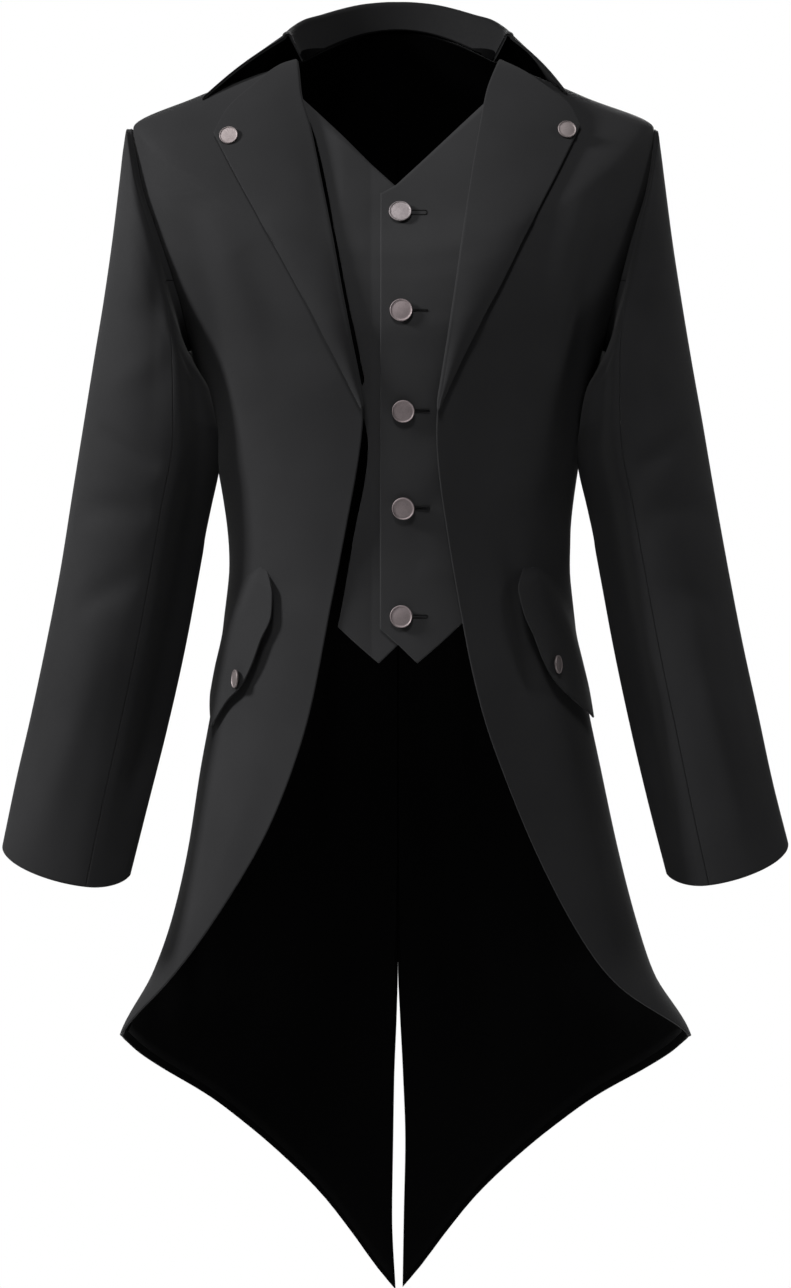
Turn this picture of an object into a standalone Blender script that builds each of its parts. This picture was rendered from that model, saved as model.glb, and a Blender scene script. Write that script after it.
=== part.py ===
"""Tailcoat with a false waistcoat sewn in, filled out as worn, with no wearer in it.

Metres, +Z up, front toward -Y. The origin is at neck height, midway between the
two shoulder seams. "Right" and "left" are the wearer's, so right is -X.
Every cloth piece lies on one form: rings round the body, each at its own level.
A place on the form is an angle round it (-90 front centre, 0 the wearer's side,
90 back centre) and a ring level, which is the height of the ring at the sides.
"""
import math
import bpy
import numpy as np

for item in list(bpy.data.objects):
    bpy.data.objects.remove(item, do_unlink=True)

# Cloth walls and gaps
SHELL = 0.0016
LINING = 0.0010
WAISTCOAT = 0.0015
LAPEL = 0.0022
FLAP = 0.0018
COLLAR = 0.0022
SEAM_TRIM = 0.0003
SLEEVE_SEAM_TRIM = 0.0006
LINING_SIDE_TRIM = 0.002
LINING_HEM_TRIM = 0.006
LAYER_GAP = 0.0009
FLAP_GAP = 0.0015
WAISTCOAT_GAP = 0.0017
ARMHOLE_GAP = 0.0018
UNDER_WRAP = 0.0030
BUTTON_GAP = 0.0006

# Colours of the cloth, the lining and the buttons
BLACK = (0.012, 0.012, 0.014)
SATIN = (0.004, 0.004, 0.005)
PEWTER = (0.42, 0.38, 0.38)

# Mesh fineness
PANEL_ROWS = 26
ARMHOLE_ROWS = 12
NECK_ROWS = 8
SHOULDER_ROWS = (0.0, 0.25, 0.5, 0.75, 1.0, 1.33, 1.67, 2.0, 2.5)
PANEL_SHARES = (0.0, 0.05, 0.11, 0.18, 0.27, 0.37, 0.48, 0.60, 0.73, 0.87, 1.0)
LINING_FIRST_ROW = 16
LAPEL_ROWS = 13
GORGE_ROWS = (0.0, 0.25, 0.5, 0.75, 1.0, 1.5)
LAPEL_COLUMNS = 5
WAISTCOAT_ROWS = 20
FLAP_ROWS = 9
FLAP_COLUMNS = 6
SLEEVE_SEGMENTS = 24
BUTTON_SEGMENTS = 18

# The form's rings, from the neck to the tips of the tails
# level, half_width_right, half_width_left, front_depth, back_depth,
# front_drop, back_drop, squareness
RINGS = (
    (0.000, 0.0820, 0.0820, 0.072, 0.078, 0.085, -0.030, 2.00),
    (-0.012, 0.1195, 0.1135, 0.088, 0.094, 0.099, -0.014, 2.00),
    (-0.030, 0.1685, 0.1560, 0.103, 0.109, 0.109, 0.008, 2.05),
    (-0.056, 0.2210, 0.2135, 0.117, 0.122, 0.110, 0.026, 2.10),
    (-0.090, 0.2210, 0.2150, 0.123, 0.129, 0.097, 0.030, 2.15),
    (-0.130, 0.2135, 0.2090, 0.127, 0.132, 0.078, 0.026, 2.20),
    (-0.175, 0.1980, 0.1960, 0.129, 0.132, 0.050, 0.018, 2.25),
    (-0.240, 0.1730, 0.1710, 0.127, 0.126, 0.014, 0.005, 2.30),
    (-0.330, 0.1525, 0.1532, 0.118, 0.108, 0.000, 0.000, 2.30),
    (-0.417, 0.1415, 0.1442, 0.108, 0.096, 0.000, 0.000, 2.30),
    (-0.467, 0.1462, 0.1484, 0.110, 0.103, 0.000, 0.000, 2.30),
    (-0.534, 0.1555, 0.1585, 0.116, 0.117, 0.000, 0.000, 2.30),
    (-0.593, 0.1662, 0.1707, 0.119, 0.127, 0.000, 0.000, 2.30),
    (-0.660, 0.1768, 0.1852, 0.121, 0.134, 0.000, 0.000, 2.30),
    (-0.719, 0.1905, 0.2005, 0.121, 0.139, 0.000, 0.000, 2.25),
    (-0.765, 0.2070, 0.2160, 0.121, 0.143, 0.000, 0.000, 2.20),
    (-0.815, 0.2340, 0.2465, 0.120, 0.147, 0.000, 0.000, 2.15),
    (-0.900, 0.2560, 0.2680, 0.120, 0.153, 0.000, 0.000, 2.10),
    (-1.080, 0.2850, 0.2950, 0.120, 0.162, 0.000, 0.000, 2.10),
)

# Front edge from the shoulder: the roll line down to row 12, then the cutaway
# right_angle, right_level, left_angle, left_level
FRONT_EDGE = (
    (0.0, 0.000, 0.0, 0.000),
    (-28.8, -0.003, -30.0, -0.001),
    (-41.5, -0.006, -42.5, -0.005),
    (-51.2, -0.010, -52.0, -0.009),
    (-59.3, -0.016, -59.8, -0.016),
    (-66.0, -0.024, -65.8, -0.025),
    (-72.2, -0.037, -71.8, -0.039),
    (-76.0, -0.056, -75.0, -0.058),
    (-77.8, -0.086, -76.5, -0.091),
    (-78.8, -0.126, -77.0, -0.134),
    (-79.2, -0.175, -77.2, -0.184),
    (-79.6, -0.221, -77.6, -0.228),
    (-80.0, -0.252, -78.0, -0.258),
    (-80.5, -0.280, -79.0, -0.284),
    (-79.3, -0.320, -79.0, -0.325),
    (-75.5, -0.362, -76.0, -0.367),
    (-71.5, -0.405, -72.8, -0.411),
    (-68.4, -0.448, -70.3, -0.455),
    (-66.2, -0.491, -68.0, -0.499),
    (-64.2, -0.534, -65.3, -0.543),
    (-61.0, -0.576, -61.2, -0.585),
    (-56.6, -0.618, -56.9, -0.627),
    (-50.5, -0.658, -52.3, -0.669),
    (-42.8, -0.696, -46.8, -0.709),
    (-33.6, -0.736, -40.6, -0.749),
    (-23.0, -0.775, -31.0, -0.787),
    (-7.0, -0.8135, -8.0, -0.8145),
)

# Side seam from the armhole's lowest point (row 12) to the hem (row 26)
# angle, level
SIDE_SEAM = (
    (0.0, -0.241), (3.0, -0.270), (5.0, -0.310), (6.5, -0.352), (7.5, -0.396),
    (8.0, -0.440), (8.0, -0.484), (8.0, -0.528), (8.0, -0.572), (8.0, -0.616),
    (8.0, -0.660), (8.0, -0.702), (8.0, -0.742), (8.0, -0.781), (8.0, -0.8215),
)

# Neck edge of the back (rows 0 to 8), then the centre back down to the tip
# right_angle, left_angle, level
BACK_EDGE = (
    (0.00, 0.00, 0.000), (11.25, 11.25, 0.000), (22.50, 22.50, 0.000),
    (33.75, 33.75, 0.000), (45.00, 45.00, 0.000), (56.25, 56.25, 0.000),
    (67.50, 67.50, 0.000), (78.75, 78.75, 0.000), (90.00, 90.00, 0.000),
    (90.00, 90.00, -0.045), (90.00, 90.00, -0.090), (90.00, 90.00, -0.140),
    (90.00, 90.00, -0.190), (90.00, 90.00, -0.250), (90.00, 90.00, -0.310),
    (90.00, 90.00, -0.372), (90.00, 90.00, -0.434), (90.00, 90.00, -0.496),
    (90.00, 90.00, -0.558), (90.00, 90.00, -0.625), (90.00, 90.00, -0.695),
    (90.00, 90.00, -0.775), (89.75, 89.60, -0.822), (89.30, 89.05, -0.874),
    (89.10, 88.65, -0.934), (88.95, 88.95, -1.000), (89.60, 89.20, -1.067),
)

# Hem of the tail from the side seam to the tip
# angle, level
TAIL_HEM = (
    (8.0, -0.8215), (16.0, -0.8290), (26.0, -0.8425), (36.0, -0.8585),
    (50.0, -0.8860), (60.5, -0.9165), (69.0, -0.9480), (76.0, -0.9800),
    (82.0, -1.0160), (86.0, -1.0430), (90.0, -1.0670),
)

# Armhole, by the turn round it: 0 shoulder, 90 front, 180 underarm, 270 back
# turn, angle, level
ARMHOLE = (
    (0, 0.0, -0.0575), (30, -10.5, -0.071), (60, -20.0, -0.104),
    (90, -25.0, -0.147), (120, -22.5, -0.190), (150, -12.5, -0.226),
    (180, 0.0, -0.241), (210, 12.5, -0.226), (240, 22.5, -0.190),
    (270, 25.0, -0.147), (300, 21.0, -0.104), (330, 11.5, -0.071),
)

# Sleeve rings, armhole to cuff: the ring's outermost and innermost points
# outer_x, outer_z, inner_x, inner_z, centre_y, front_depth, back_depth
SLEEVE_RIGHT = (
    (0.2210, -0.0575, 0.1735, -0.2405, -0.002, 0.056, 0.060),
    (0.2260, -0.0565, 0.1775, -0.2430, -0.004, 0.059, 0.063),
    (0.2288, -0.0715, 0.1750, -0.2480, -0.007, 0.061, 0.065),
    (0.2320, -0.1000, 0.1705, -0.2560, -0.010, 0.062, 0.066),
    (0.2375, -0.1480, 0.1664, -0.2670, -0.017, 0.062, 0.066),
    (0.2445, -0.1980, 0.1618, -0.2840, -0.022, 0.062, 0.065),
    (0.2527, -0.2480, 0.1562, -0.3070, -0.025, 0.061, 0.064),
    (0.2612, -0.3000, 0.1515, -0.3340, -0.026, 0.060, 0.062),
    (0.2705, -0.3560, 0.1580, -0.3810, -0.025, 0.058, 0.060),
    (0.2820, -0.4250, 0.1700, -0.4470, -0.021, 0.054, 0.056),
    (0.2937, -0.4850, 0.1817, -0.5060, -0.023, 0.050, 0.051),
    (0.3065, -0.5450, 0.1955, -0.5660, -0.026, 0.046, 0.046),
    (0.3192, -0.6000, 0.2092, -0.6210, -0.030, 0.042, 0.042),
    (0.3303, -0.6540, 0.2235, -0.6790, -0.034, 0.039, 0.038),
)
SLEEVE_LEFT = (
    (0.2135, -0.0575, 0.1715, -0.2405, -0.002, 0.056, 0.060),
    (0.2165, -0.0580, 0.1755, -0.2430, -0.004, 0.059, 0.063),
    (0.2188, -0.0735, 0.1732, -0.2480, -0.007, 0.061, 0.065),
    (0.2222, -0.1010, 0.1693, -0.2560, -0.010, 0.062, 0.066),
    (0.2280, -0.1480, 0.1656, -0.2670, -0.017, 0.062, 0.066),
    (0.2355, -0.1980, 0.1611, -0.2840, -0.022, 0.062, 0.065),
    (0.2438, -0.2480, 0.1562, -0.3070, -0.025, 0.061, 0.064),
    (0.2532, -0.3000, 0.1524, -0.3340, -0.026, 0.060, 0.062),
    (0.2630, -0.3560, 0.1600, -0.3810, -0.025, 0.058, 0.060),
    (0.2760, -0.4250, 0.1725, -0.4470, -0.021, 0.054, 0.056),
    (0.2878, -0.4850, 0.1840, -0.5060, -0.023, 0.050, 0.051),
    (0.3010, -0.5450, 0.1970, -0.5660, -0.026, 0.046, 0.046),
    (0.3128, -0.6000, 0.2098, -0.6210, -0.030, 0.042, 0.042),
    (0.3258, -0.6520, 0.2242, -0.6780, -0.034, 0.039, 0.038),
)
SLEEVE_SQUARENESS = 2.15
FOREARM_SEAM = 110.0
SLEEVE_HEAD_ROWS = 4.0
SLEEVE_HEAD_POWER = 1.5
CUFF_FRONT_DROP = 0.015
CUFF_DROP_ROWS = 3.0

# Lapel's free edge from its upper corner to where the roll ends
# right_angle, right_level, left_angle, left_level
LAPEL_EDGE = (
    (-29.5, -0.035, -28.2, -0.035), (-39.0, -0.036, -38.2, -0.037),
    (-47.0, -0.040, -46.4, -0.041), (-54.0, -0.046, -53.5, -0.047),
    (-59.3, -0.057, -58.4, -0.058), (-62.8, -0.073, -61.8, -0.076),
    (-65.8, -0.095, -64.8, -0.099), (-68.3, -0.121, -66.8, -0.128),
    (-70.4, -0.154, -68.4, -0.164), (-72.1, -0.193, -69.8, -0.204),
    (-74.0, -0.229, -71.7, -0.236), (-76.2, -0.255, -74.2, -0.260),
    (-78.4, -0.274, -76.8, -0.280),
)
# Lapel's top edge from the roll line to its upper corner
# right_angle, right_level, left_angle, left_level
GORGE = (
    (-2.5, -0.0012, -2.5, -0.0010), (-10.0, -0.0080, -13.8, -0.0080),
    (-18.0, -0.0150, -19.5, -0.0135), (-23.8, -0.0210, -23.8, -0.0205),
    (-28.0, -0.0280, -26.6, -0.0275), (-29.5, -0.0350, -28.2, -0.0350),
)
LAPEL_LIFT = 0.0040
LAPEL_ARCH = 0.62
ROLL_END_ROW = 13

# Pocket flap: its sewn edge and its free edge, from the front end to the back
# sewn_angle, sewn_level, free_right_angle, free_right_level,
# free_left_angle, free_left_level
POCKET_FLAP = (
    (-40.0, -0.4190, -43.0, -0.422, -46.6, -0.420),
    (-33.0, -0.4270, -48.0, -0.441, -51.0, -0.438),
    (-26.0, -0.4370, -48.8, -0.460, -50.0, -0.458),
    (-18.0, -0.4490, -45.8, -0.480, -47.2, -0.477),
    (-10.0, -0.4620, -43.2, -0.500, -44.6, -0.497),
    (-3.0, -0.4750, -39.2, -0.518, -40.6, -0.514),
    (3.0, -0.4880, -31.0, -0.534, -32.0, -0.530),
    (6.0, -0.5000, -23.5, -0.554, -16.0, -0.548),
)
FLAP_LIFT = 0.0012

# Waistcoat front, by strips from the overlapping edge to under the coat
# top_x, top_level, hem_x, hem_level
WAISTCOAT_STRIPS = (
    (-0.0143, -0.0180, -0.0150, -0.4690),
    (0.0005, -0.0125, 0.0012, -0.4830),
    (0.0200, -0.0068, 0.0160, -0.4970),
    (0.0400, -0.0040, 0.0340, -0.4820),
    (0.0600, -0.0026, 0.0525, -0.4655),
    (0.0740, -0.0030, 0.0800, -0.4470),
    (0.0840, -0.0065, 0.1050, -0.4370),
)
UNDER_WRAP_INNER_X = 0.022
UNDER_WRAP_OUTER_X = 0.045

# Collar: foot at the neck edge, fold, and free edge on the form
# angle, fold_out, fold_up, roll_radius, leaf_angle, leaf_level_right,
# leaf_level_left, leaf_off
COLLAR_SECTIONS = (
    (-6.0, 0.0065, 0.0060, 0.0020, -13.0, -0.0285, -0.0235, 0.011),
    (0.0, 0.0105, 0.0120, 0.0026, -6.0, -0.0245, -0.0205, 0.010),
    (11.25, 0.0140, 0.0220, 0.0032, 5.0, -0.0205, -0.0175, 0.005),
    (22.5, 0.0150, 0.0275, 0.0035, 19.0, -0.0175, -0.0155, 0.004),
    (33.75, 0.0130, 0.0282, 0.0035, 32.0, -0.0150, -0.0135, 0.005),
    (45.0, 0.0100, 0.0272, 0.0035, 44.0, -0.0125, -0.0118, 0.005),
    (56.25, 0.0082, 0.0265, 0.0035, 56.0, -0.0105, -0.0100, 0.005),
    (67.5, 0.0070, 0.0258, 0.0035, 67.5, -0.0090, -0.0090, 0.005),
    (78.75, 0.0062, 0.0248, 0.0035, 78.75, -0.0083, -0.0083, 0.005),
    (90.0, 0.0060, 0.0243, 0.0035, 90.0, -0.0080, -0.0080, 0.005),
)
COLLAR_FOOT_IN = 0.0024
COLLAR_FOOT_UP = 0.0004
COLLAR_BULGE = 0.0070

# Buttons: place on the form, and size
# angle_right, level_right, angle_left, level_left
LAPEL_BUTTON = (-36.4, -0.0308, -32.7, -0.0326)
FLAP_BUTTON = (-37.0, -0.5130, -38.6, -0.5010)
LAPEL_BUTTON_SHARE = 0.9
FLAP_BUTTON_SHARE = 0.8
# x, level
WAISTCOAT_BUTTONS = (
    (0.0017, -0.0220), (0.0025, -0.1330), (0.0042, -0.2880),
    (0.0042, -0.3710), (0.0025, -0.4590),
)
WAISTCOAT_BUTTON_RADIUS = 0.0092
SMALL_BUTTON_RADIUS = 0.0076
# share_of_radius, height
BUTTON_PROFILE = ((0.55, 0.0), (0.92, 0.0009), (1.0, 0.0018), (0.80, 0.0028), (0.35, 0.0032))

RIGHT = -1
LEFT = 1


def smooth_curve(stations, values):
    """Curve through the values that never overshoots between two stations."""
    xs = np.asarray(stations, float)
    ys = np.asarray(values, float)
    order = np.argsort(xs)
    xs = xs[order]
    ys = ys[order]
    step = np.diff(xs)
    rise = np.diff(ys) / step
    slope = np.zeros_like(ys)
    slope[0] = rise[0]
    slope[-1] = rise[-1]
    for i in range(1, len(xs) - 1):
        if rise[i - 1] * rise[i] > 0:
            near = 2 * step[i] + step[i - 1]
            far = step[i] + 2 * step[i - 1]
            slope[i] = (near + far) / (near / rise[i - 1] + far / rise[i])

    def value(x):
        x = np.clip(x, xs[0], xs[-1])
        i = np.clip(np.searchsorted(xs, x) - 1, 0, len(xs) - 2)
        t = (x - xs[i]) / step[i]
        return (
            (1 + 2 * t) * (1 - t) ** 2 * ys[i]
            + t * (1 - t) ** 2 * step[i] * slope[i]
            + t * t * (3 - 2 * t) * ys[i + 1]
            + t * t * (t - 1) * step[i] * slope[i + 1]
        )

    return value


def table_curves(rows, columns, closed=False):
    """One smooth curve per column of a table, by row number."""
    table = np.asarray(rows, float)[:, columns]
    count = len(table)
    stations = np.arange(count, dtype=float)
    if closed:
        table = np.concatenate([table[-2:], table, table[:3]])
        stations = np.arange(-2.0, count + 3.0)
    return [smooth_curve(stations, table[:, k]) for k in range(table.shape[1])]


RING_LEVELS = [ring[0] for ring in RINGS]
RING_CURVES = [smooth_curve(RING_LEVELS, [ring[k] for ring in RINGS]) for k in range(1, 8)]


def form_point(angle, level, side):
    """Point of the form at an angle in degrees and a ring level."""
    turn = np.radians(angle)
    c = np.cos(turn)
    s = np.sin(turn)
    right, left, front, back, front_drop, back_drop, power = [f(level) for f in RING_CURVES]
    half = np.where(side * c < 0, right, left)
    depth = np.where(s < 0, front, back)
    drop = np.where(s < 0, front_drop, back_drop)
    reach = (np.abs(c) ** power + np.abs(s) ** power) ** (-1 / power)
    return np.stack([side * half * c * reach, depth * s * reach, level - drop * s * s], -1)


def form_normal(angle, level, side):
    """Outward direction of the form."""
    small_turn = 0.4
    small_level = 0.0008
    low = np.maximum(level - small_level, RING_LEVELS[-1])
    high = np.minimum(level + small_level, 0.0)
    across = form_point(angle + small_turn, level, side) - form_point(angle - small_turn, level, side)
    down = form_point(angle, low, side) - form_point(angle, high, side)
    normal = np.cross(across, down)
    normal = normal / np.linalg.norm(normal, axis=-1, keepdims=True)
    return normal * -side


def angle_at(x, level, side):
    """Front angle whose point is x from the centre line, toward the wearer's side."""
    low = np.full(np.shape(x), -120.0)
    high = np.full(np.shape(x), -5.0)
    for _ in range(40):
        middle = (low + high) / 2
        reach = form_point(middle, level, side)[..., 0] * side
        low = np.where(reach < x, middle, low)
        high = np.where(reach < x, high, middle)
    return (low + high) / 2


def patch(inner, outer, first, last, v, u):
    """Angles and levels of a piece between two edges, with its end edges if given."""
    v = np.asarray(v, float)[:, None]
    u = np.asarray(u, float)[None, :]
    result = []
    for k in (0, 1):
        near = inner(v)[k]
        far = outer(v)[k]
        plain = near * (1 - u) + far * u
        if first is not None:
            plain = plain + (1 - v) ** 3 * (first(u)[k] - plain[:1])
        if last is not None:
            plain = plain + v ** 2 * (last(u)[k] - plain[-1:])
        result.append(plain)
    return result[0], result[1]


def even(count):
    return np.linspace(0, 1, count + 1)


def edge(rows, columns, scale=1.0):
    """An edge of a piece: 0 to 1 along it gives angle and level."""
    curves = table_curves(rows, columns)
    count = (len(rows) - 1) * scale
    return lambda t: (curves[0](t * count), curves[1](t * count))


def by_side(side):
    return [0, 1] if side == RIGHT else [2, 3]


ARMHOLE_CURVES = table_curves(ARMHOLE, [1, 2], closed=True)
ARMHOLE_STEP = 360 / len(ARMHOLE)


def armhole(turn):
    """Angle and level of the armhole's edge at a turn round it in degrees."""
    place = (np.asarray(turn, float) % 360) / ARMHOLE_STEP
    return ARMHOLE_CURVES[0](place), ARMHOLE_CURVES[1](place)


def panel_outer(way):
    """Outer edge of a body panel: armhole, then side seam. Way 1 front, -1 back."""
    seam = table_curves(SIDE_SEAM, [0, 1])

    def place(t):
        row = t * PANEL_ROWS
        hole = armhole(way * 180 * np.clip(row / ARMHOLE_ROWS, 0, 1))
        below = row > ARMHOLE_ROWS
        return (
            np.where(below, seam[0](row - ARMHOLE_ROWS), hole[0]),
            np.where(below, seam[1](row - ARMHOLE_ROWS), hole[1]),
        )

    return place


def tail_hem(side):
    """Hem of the tail from the centre to the side seam."""
    level = smooth_curve([row[0] for row in TAIL_HEM], [row[1] for row in TAIL_HEM])
    centre = BACK_EDGE[-1][0 if side == RIGHT else 1]

    def place(u):
        angle = centre + (SIDE_SEAM[-1][0] - centre) * u
        return angle, level(angle)

    return place


def front_panel(side):
    rows = list(SHOULDER_ROWS) + list(range(3, PANEL_ROWS + 1))
    v = np.array(rows) / PANEL_ROWS
    return patch(edge(FRONT_EDGE, by_side(side)), panel_outer(1), None, None, v, PANEL_SHARES)


def back_panel(side):
    inner = edge(BACK_EDGE, [0 if side == RIGHT else 1, 2])
    v = np.linspace(0, 1, PANEL_ROWS + 1)
    return patch(inner, panel_outer(-1), None, tail_hem(side), v, PANEL_SHARES)


def lapel_panel(side):
    roll = edge(FRONT_EDGE, by_side(side), ROLL_END_ROW / PANEL_ROWS)
    free = edge(LAPEL_EDGE, by_side(side))
    rows = list(GORGE_ROWS) + list(range(2, LAPEL_ROWS + 1))
    v = np.array(rows) / LAPEL_ROWS
    return patch(roll, free, edge(GORGE, by_side(side)), None, v, even(LAPEL_COLUMNS))


def flap_panel(side):
    free = edge(POCKET_FLAP, [2, 3] if side == RIGHT else [4, 5])
    v = np.linspace(0, 1, FLAP_ROWS + 1)
    return patch(edge(POCKET_FLAP, [0, 1]), free, None, None, v, even(FLAP_COLUMNS))


def waistcoat_panel(side, rows=WAISTCOAT_ROWS):
    """Angles, levels and distances from the centre line, one column per strip."""
    table = np.asarray(WAISTCOAT_STRIPS)
    v = np.linspace(0, 1, rows + 1)[:, None]
    x = table[:, 0] * (1 - v) + table[:, 2] * v
    level = table[:, 1] * (1 - v) + table[:, 3] * v
    return angle_at(x, level, side), level, x


def trim(points, row=None, column=None, first=0, last=None, amount=SEAM_TRIM):
    """Draw one edge of a grid of points in, by moving it toward its neighbours."""
    moved = points.copy()
    if row is not None:
        beside = 1 if row == 0 else row - 1
        step = points[beside] - points[row]
        length = np.linalg.norm(step, axis=-1, keepdims=True)
        moved[row] = points[row] + step / length * amount
    if column is not None:
        beside = 1 if column == 0 else column - 1
        span = slice(first, last)
        step = points[span, beside] - points[span, column]
        length = np.linalg.norm(step, axis=-1, keepdims=True)
        moved[span, column] = points[span, column] + step / length * amount
    return moved


def material(name, colour, roughness, metallic=0.0):
    made = bpy.data.materials.new(name)
    made.use_nodes = True
    shader = made.node_tree.nodes["Principled BSDF"]
    shader.inputs["Base Color"].default_value = (*colour, 1.0)
    shader.inputs["Roughness"].default_value = roughness
    shader.inputs["Metallic"].default_value = metallic
    return made


def add_mesh(name, vertices, faces, colour, roughness, metallic=0.0):
    mesh = bpy.data.meshes.new(name)
    mesh.from_pydata([tuple(map(float, v)) for v in vertices], [], faces)
    mesh.validate()
    mesh.update()
    made = bpy.data.objects.new(name, mesh)
    bpy.context.scene.collection.objects.link(made)
    for polygon in mesh.polygons:
        polygon.use_smooth = True
    mesh.materials.append(material(name + "_finish", colour, roughness, metallic))
    return made


def add_cloth(name, outer, inner, colour, roughness=0.85):
    """A closed solid between two grids of points, with a rim round its edges."""
    rows, columns = outer.shape[:2]
    count = rows * columns
    vertices = np.concatenate([outer.reshape(-1, 3), inner.reshape(-1, 3)])
    a, b, d = outer[0, 0], outer[0, 1], outer[1, 0]
    outward = outer[0, 0] - inner[0, 0]
    turned = np.dot(np.cross(b - a, d - a), outward) < 0
    faces = []

    def quad(p, q, r, s):
        if turned:
            p, q, r, s = p, s, r, q
            faces.append((p, q, s))
            faces.append((q, r, s))
        else:
            faces.append((p, q, r))
            faces.append((p, r, s))

    for i in range(rows - 1):
        for j in range(columns - 1):
            p = i * columns + j
            quad(p, p + 1, p + columns + 1, p + columns)
            p += count
            faces_before = len(faces)
            quad(p, p + 1, p + columns + 1, p + columns)
            for k in range(faces_before, len(faces)):
                faces[k] = faces[k][::-1]
    border = [j for j in range(columns)]
    border += [i * columns + columns - 1 for i in range(1, rows)]
    border += [(rows - 1) * columns + j for j in range(columns - 2, -1, -1)]
    border += [i * columns for i in range(rows - 2, 0, -1)]
    for k, p in enumerate(border):
        q = border[(k + 1) % len(border)]
        quad(p, p + count, q + count, q)
    return add_mesh(name, vertices, faces, colour, roughness)


def grid_normals(grid, outward):
    """Normals of a grid of points, turned to the side the first one points to."""
    normal = np.cross(np.gradient(grid, axis=0), np.gradient(grid, axis=1))
    normal = normal / np.linalg.norm(normal, axis=-1, keepdims=True)
    if np.dot(normal[0, 0], outward) < 0:
        normal = -normal
    return normal


def add_button(name, centre, axis, radius):
    """A turned metal button: flat back, low domed face."""
    axis = axis / np.linalg.norm(axis)
    across = np.cross(axis, (0.0, 0.0, 1.0))
    across = across / np.linalg.norm(across)
    along = np.cross(axis, across)
    vertices = []
    for share, height in BUTTON_PROFILE:
        for k in range(BUTTON_SEGMENTS):
            turn = 2 * math.pi * k / BUTTON_SEGMENTS
            ray = across * math.cos(turn) + along * math.sin(turn)
            vertices.append(centre + axis * height + ray * radius * share)
    faces = []
    for i in range(len(BUTTON_PROFILE) - 1):
        for k in range(BUTTON_SEGMENTS):
            p = i * BUTTON_SEGMENTS + k
            q = i * BUTTON_SEGMENTS + (k + 1) % BUTTON_SEGMENTS
            faces.append((p, q, q + BUTTON_SEGMENTS, p + BUTTON_SEGMENTS))
    back = list(range(BUTTON_SEGMENTS))
    face = [len(vertices) - BUTTON_SEGMENTS + k for k in back]
    faces.append(tuple(reversed(back)))
    faces.append(tuple(face))
    return add_mesh(name, vertices, faces, PEWTER, 0.35, 1.0)


# Body panels: two fronts and two backs, cut to meet at shoulder, side and centre back
for side, name in ((RIGHT, "right"), (LEFT, "left")):
    for kind, panel in (("front", front_panel), ("back", back_panel)):
        angle, level = panel(side)
        points = form_point(angle, level, side)
        points = trim(points, row=0)
        points = trim(points, column=-1, first=len(points) - 1 - PANEL_ROWS + ARMHOLE_ROWS)
        if kind == "back":
            points = trim(points, column=0, first=NECK_ROWS)
        inner = points - form_normal(angle, level, side) * SHELL
        add_cloth(f"{kind}_{name}", points, inner, BLACK)

# Skirt linings: inside the tails, from below the waist, short of the hem
for side, name in ((RIGHT, "right"), (LEFT, "left")):
    angle, level = back_panel(side)
    points = form_point(angle, level, side)
    normal = form_normal(angle, level, side)
    outer = points - normal * (SHELL + LAYER_GAP)
    inner = outer - normal * LINING
    outer = outer[LINING_FIRST_ROW:]
    inner = inner[LINING_FIRST_ROW:]
    for column in (0, -1):
        outer = trim(outer, column=column, amount=LINING_SIDE_TRIM)
        inner = trim(inner, column=column, amount=LINING_SIDE_TRIM)
    outer = trim(outer, row=len(outer) - 1, amount=LINING_HEM_TRIM)
    inner = trim(inner, row=len(inner) - 1, amount=LINING_HEM_TRIM)
    add_cloth(f"tail_lining_{name}", outer, inner, SATIN, 0.45)

# False waistcoat: two fronts, the left lapped over the right, sewn in under the coat
for side, name in ((RIGHT, "right"), (LEFT, "left")):
    angle, level, x = waistcoat_panel(side)
    points = form_point(angle, level, side)
    normal = form_normal(angle, level, side)
    depth = np.full(x.shape, SHELL + WAISTCOAT_GAP)
    if side == RIGHT:
        share = (UNDER_WRAP_OUTER_X - x) / (UNDER_WRAP_OUTER_X - UNDER_WRAP_INNER_X)
        depth = depth + UNDER_WRAP * np.clip(share, 0, 1)
    outer = points - normal * depth[..., None]
    inner = outer - normal * WAISTCOAT
    add_cloth(f"waistcoat_{name}", outer, inner, BLACK)


def lapel_height(u):
    """Height of the lapel's underside over the front, by its share across."""
    return LAYER_GAP + LAPEL_LIFT * np.sin(math.pi * np.clip(u * LAPEL_ARCH, 0, 1))


def flap_height(u):
    return FLAP_GAP + FLAP_LIFT * u


# Lapels, lying back on the fronts from the roll line
for side, name in ((RIGHT, "right"), (LEFT, "left")):
    angle, level = lapel_panel(side)
    points = form_point(angle, level, side)
    normal = form_normal(angle, level, side)
    share = np.linspace(0, 1, LAPEL_COLUMNS + 1)[None, :, None]
    under = points + normal * lapel_height(share)
    over = under + normal * LAPEL
    add_cloth(f"lapel_{name}", over, under, BLACK)

# Pocket flaps on the fronts, slanted and shaped
for side, name in ((RIGHT, "right"), (LEFT, "left")):
    angle, level = flap_panel(side)
    points = form_point(angle, level, side)
    normal = form_normal(angle, level, side)
    share = np.linspace(0, 1, angle.shape[1])[None, :, None]
    under = points + normal * flap_height(share)
    over = under + normal * FLAP
    add_cloth(f"pocket_flap_{name}", over, under, BLACK)


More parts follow.
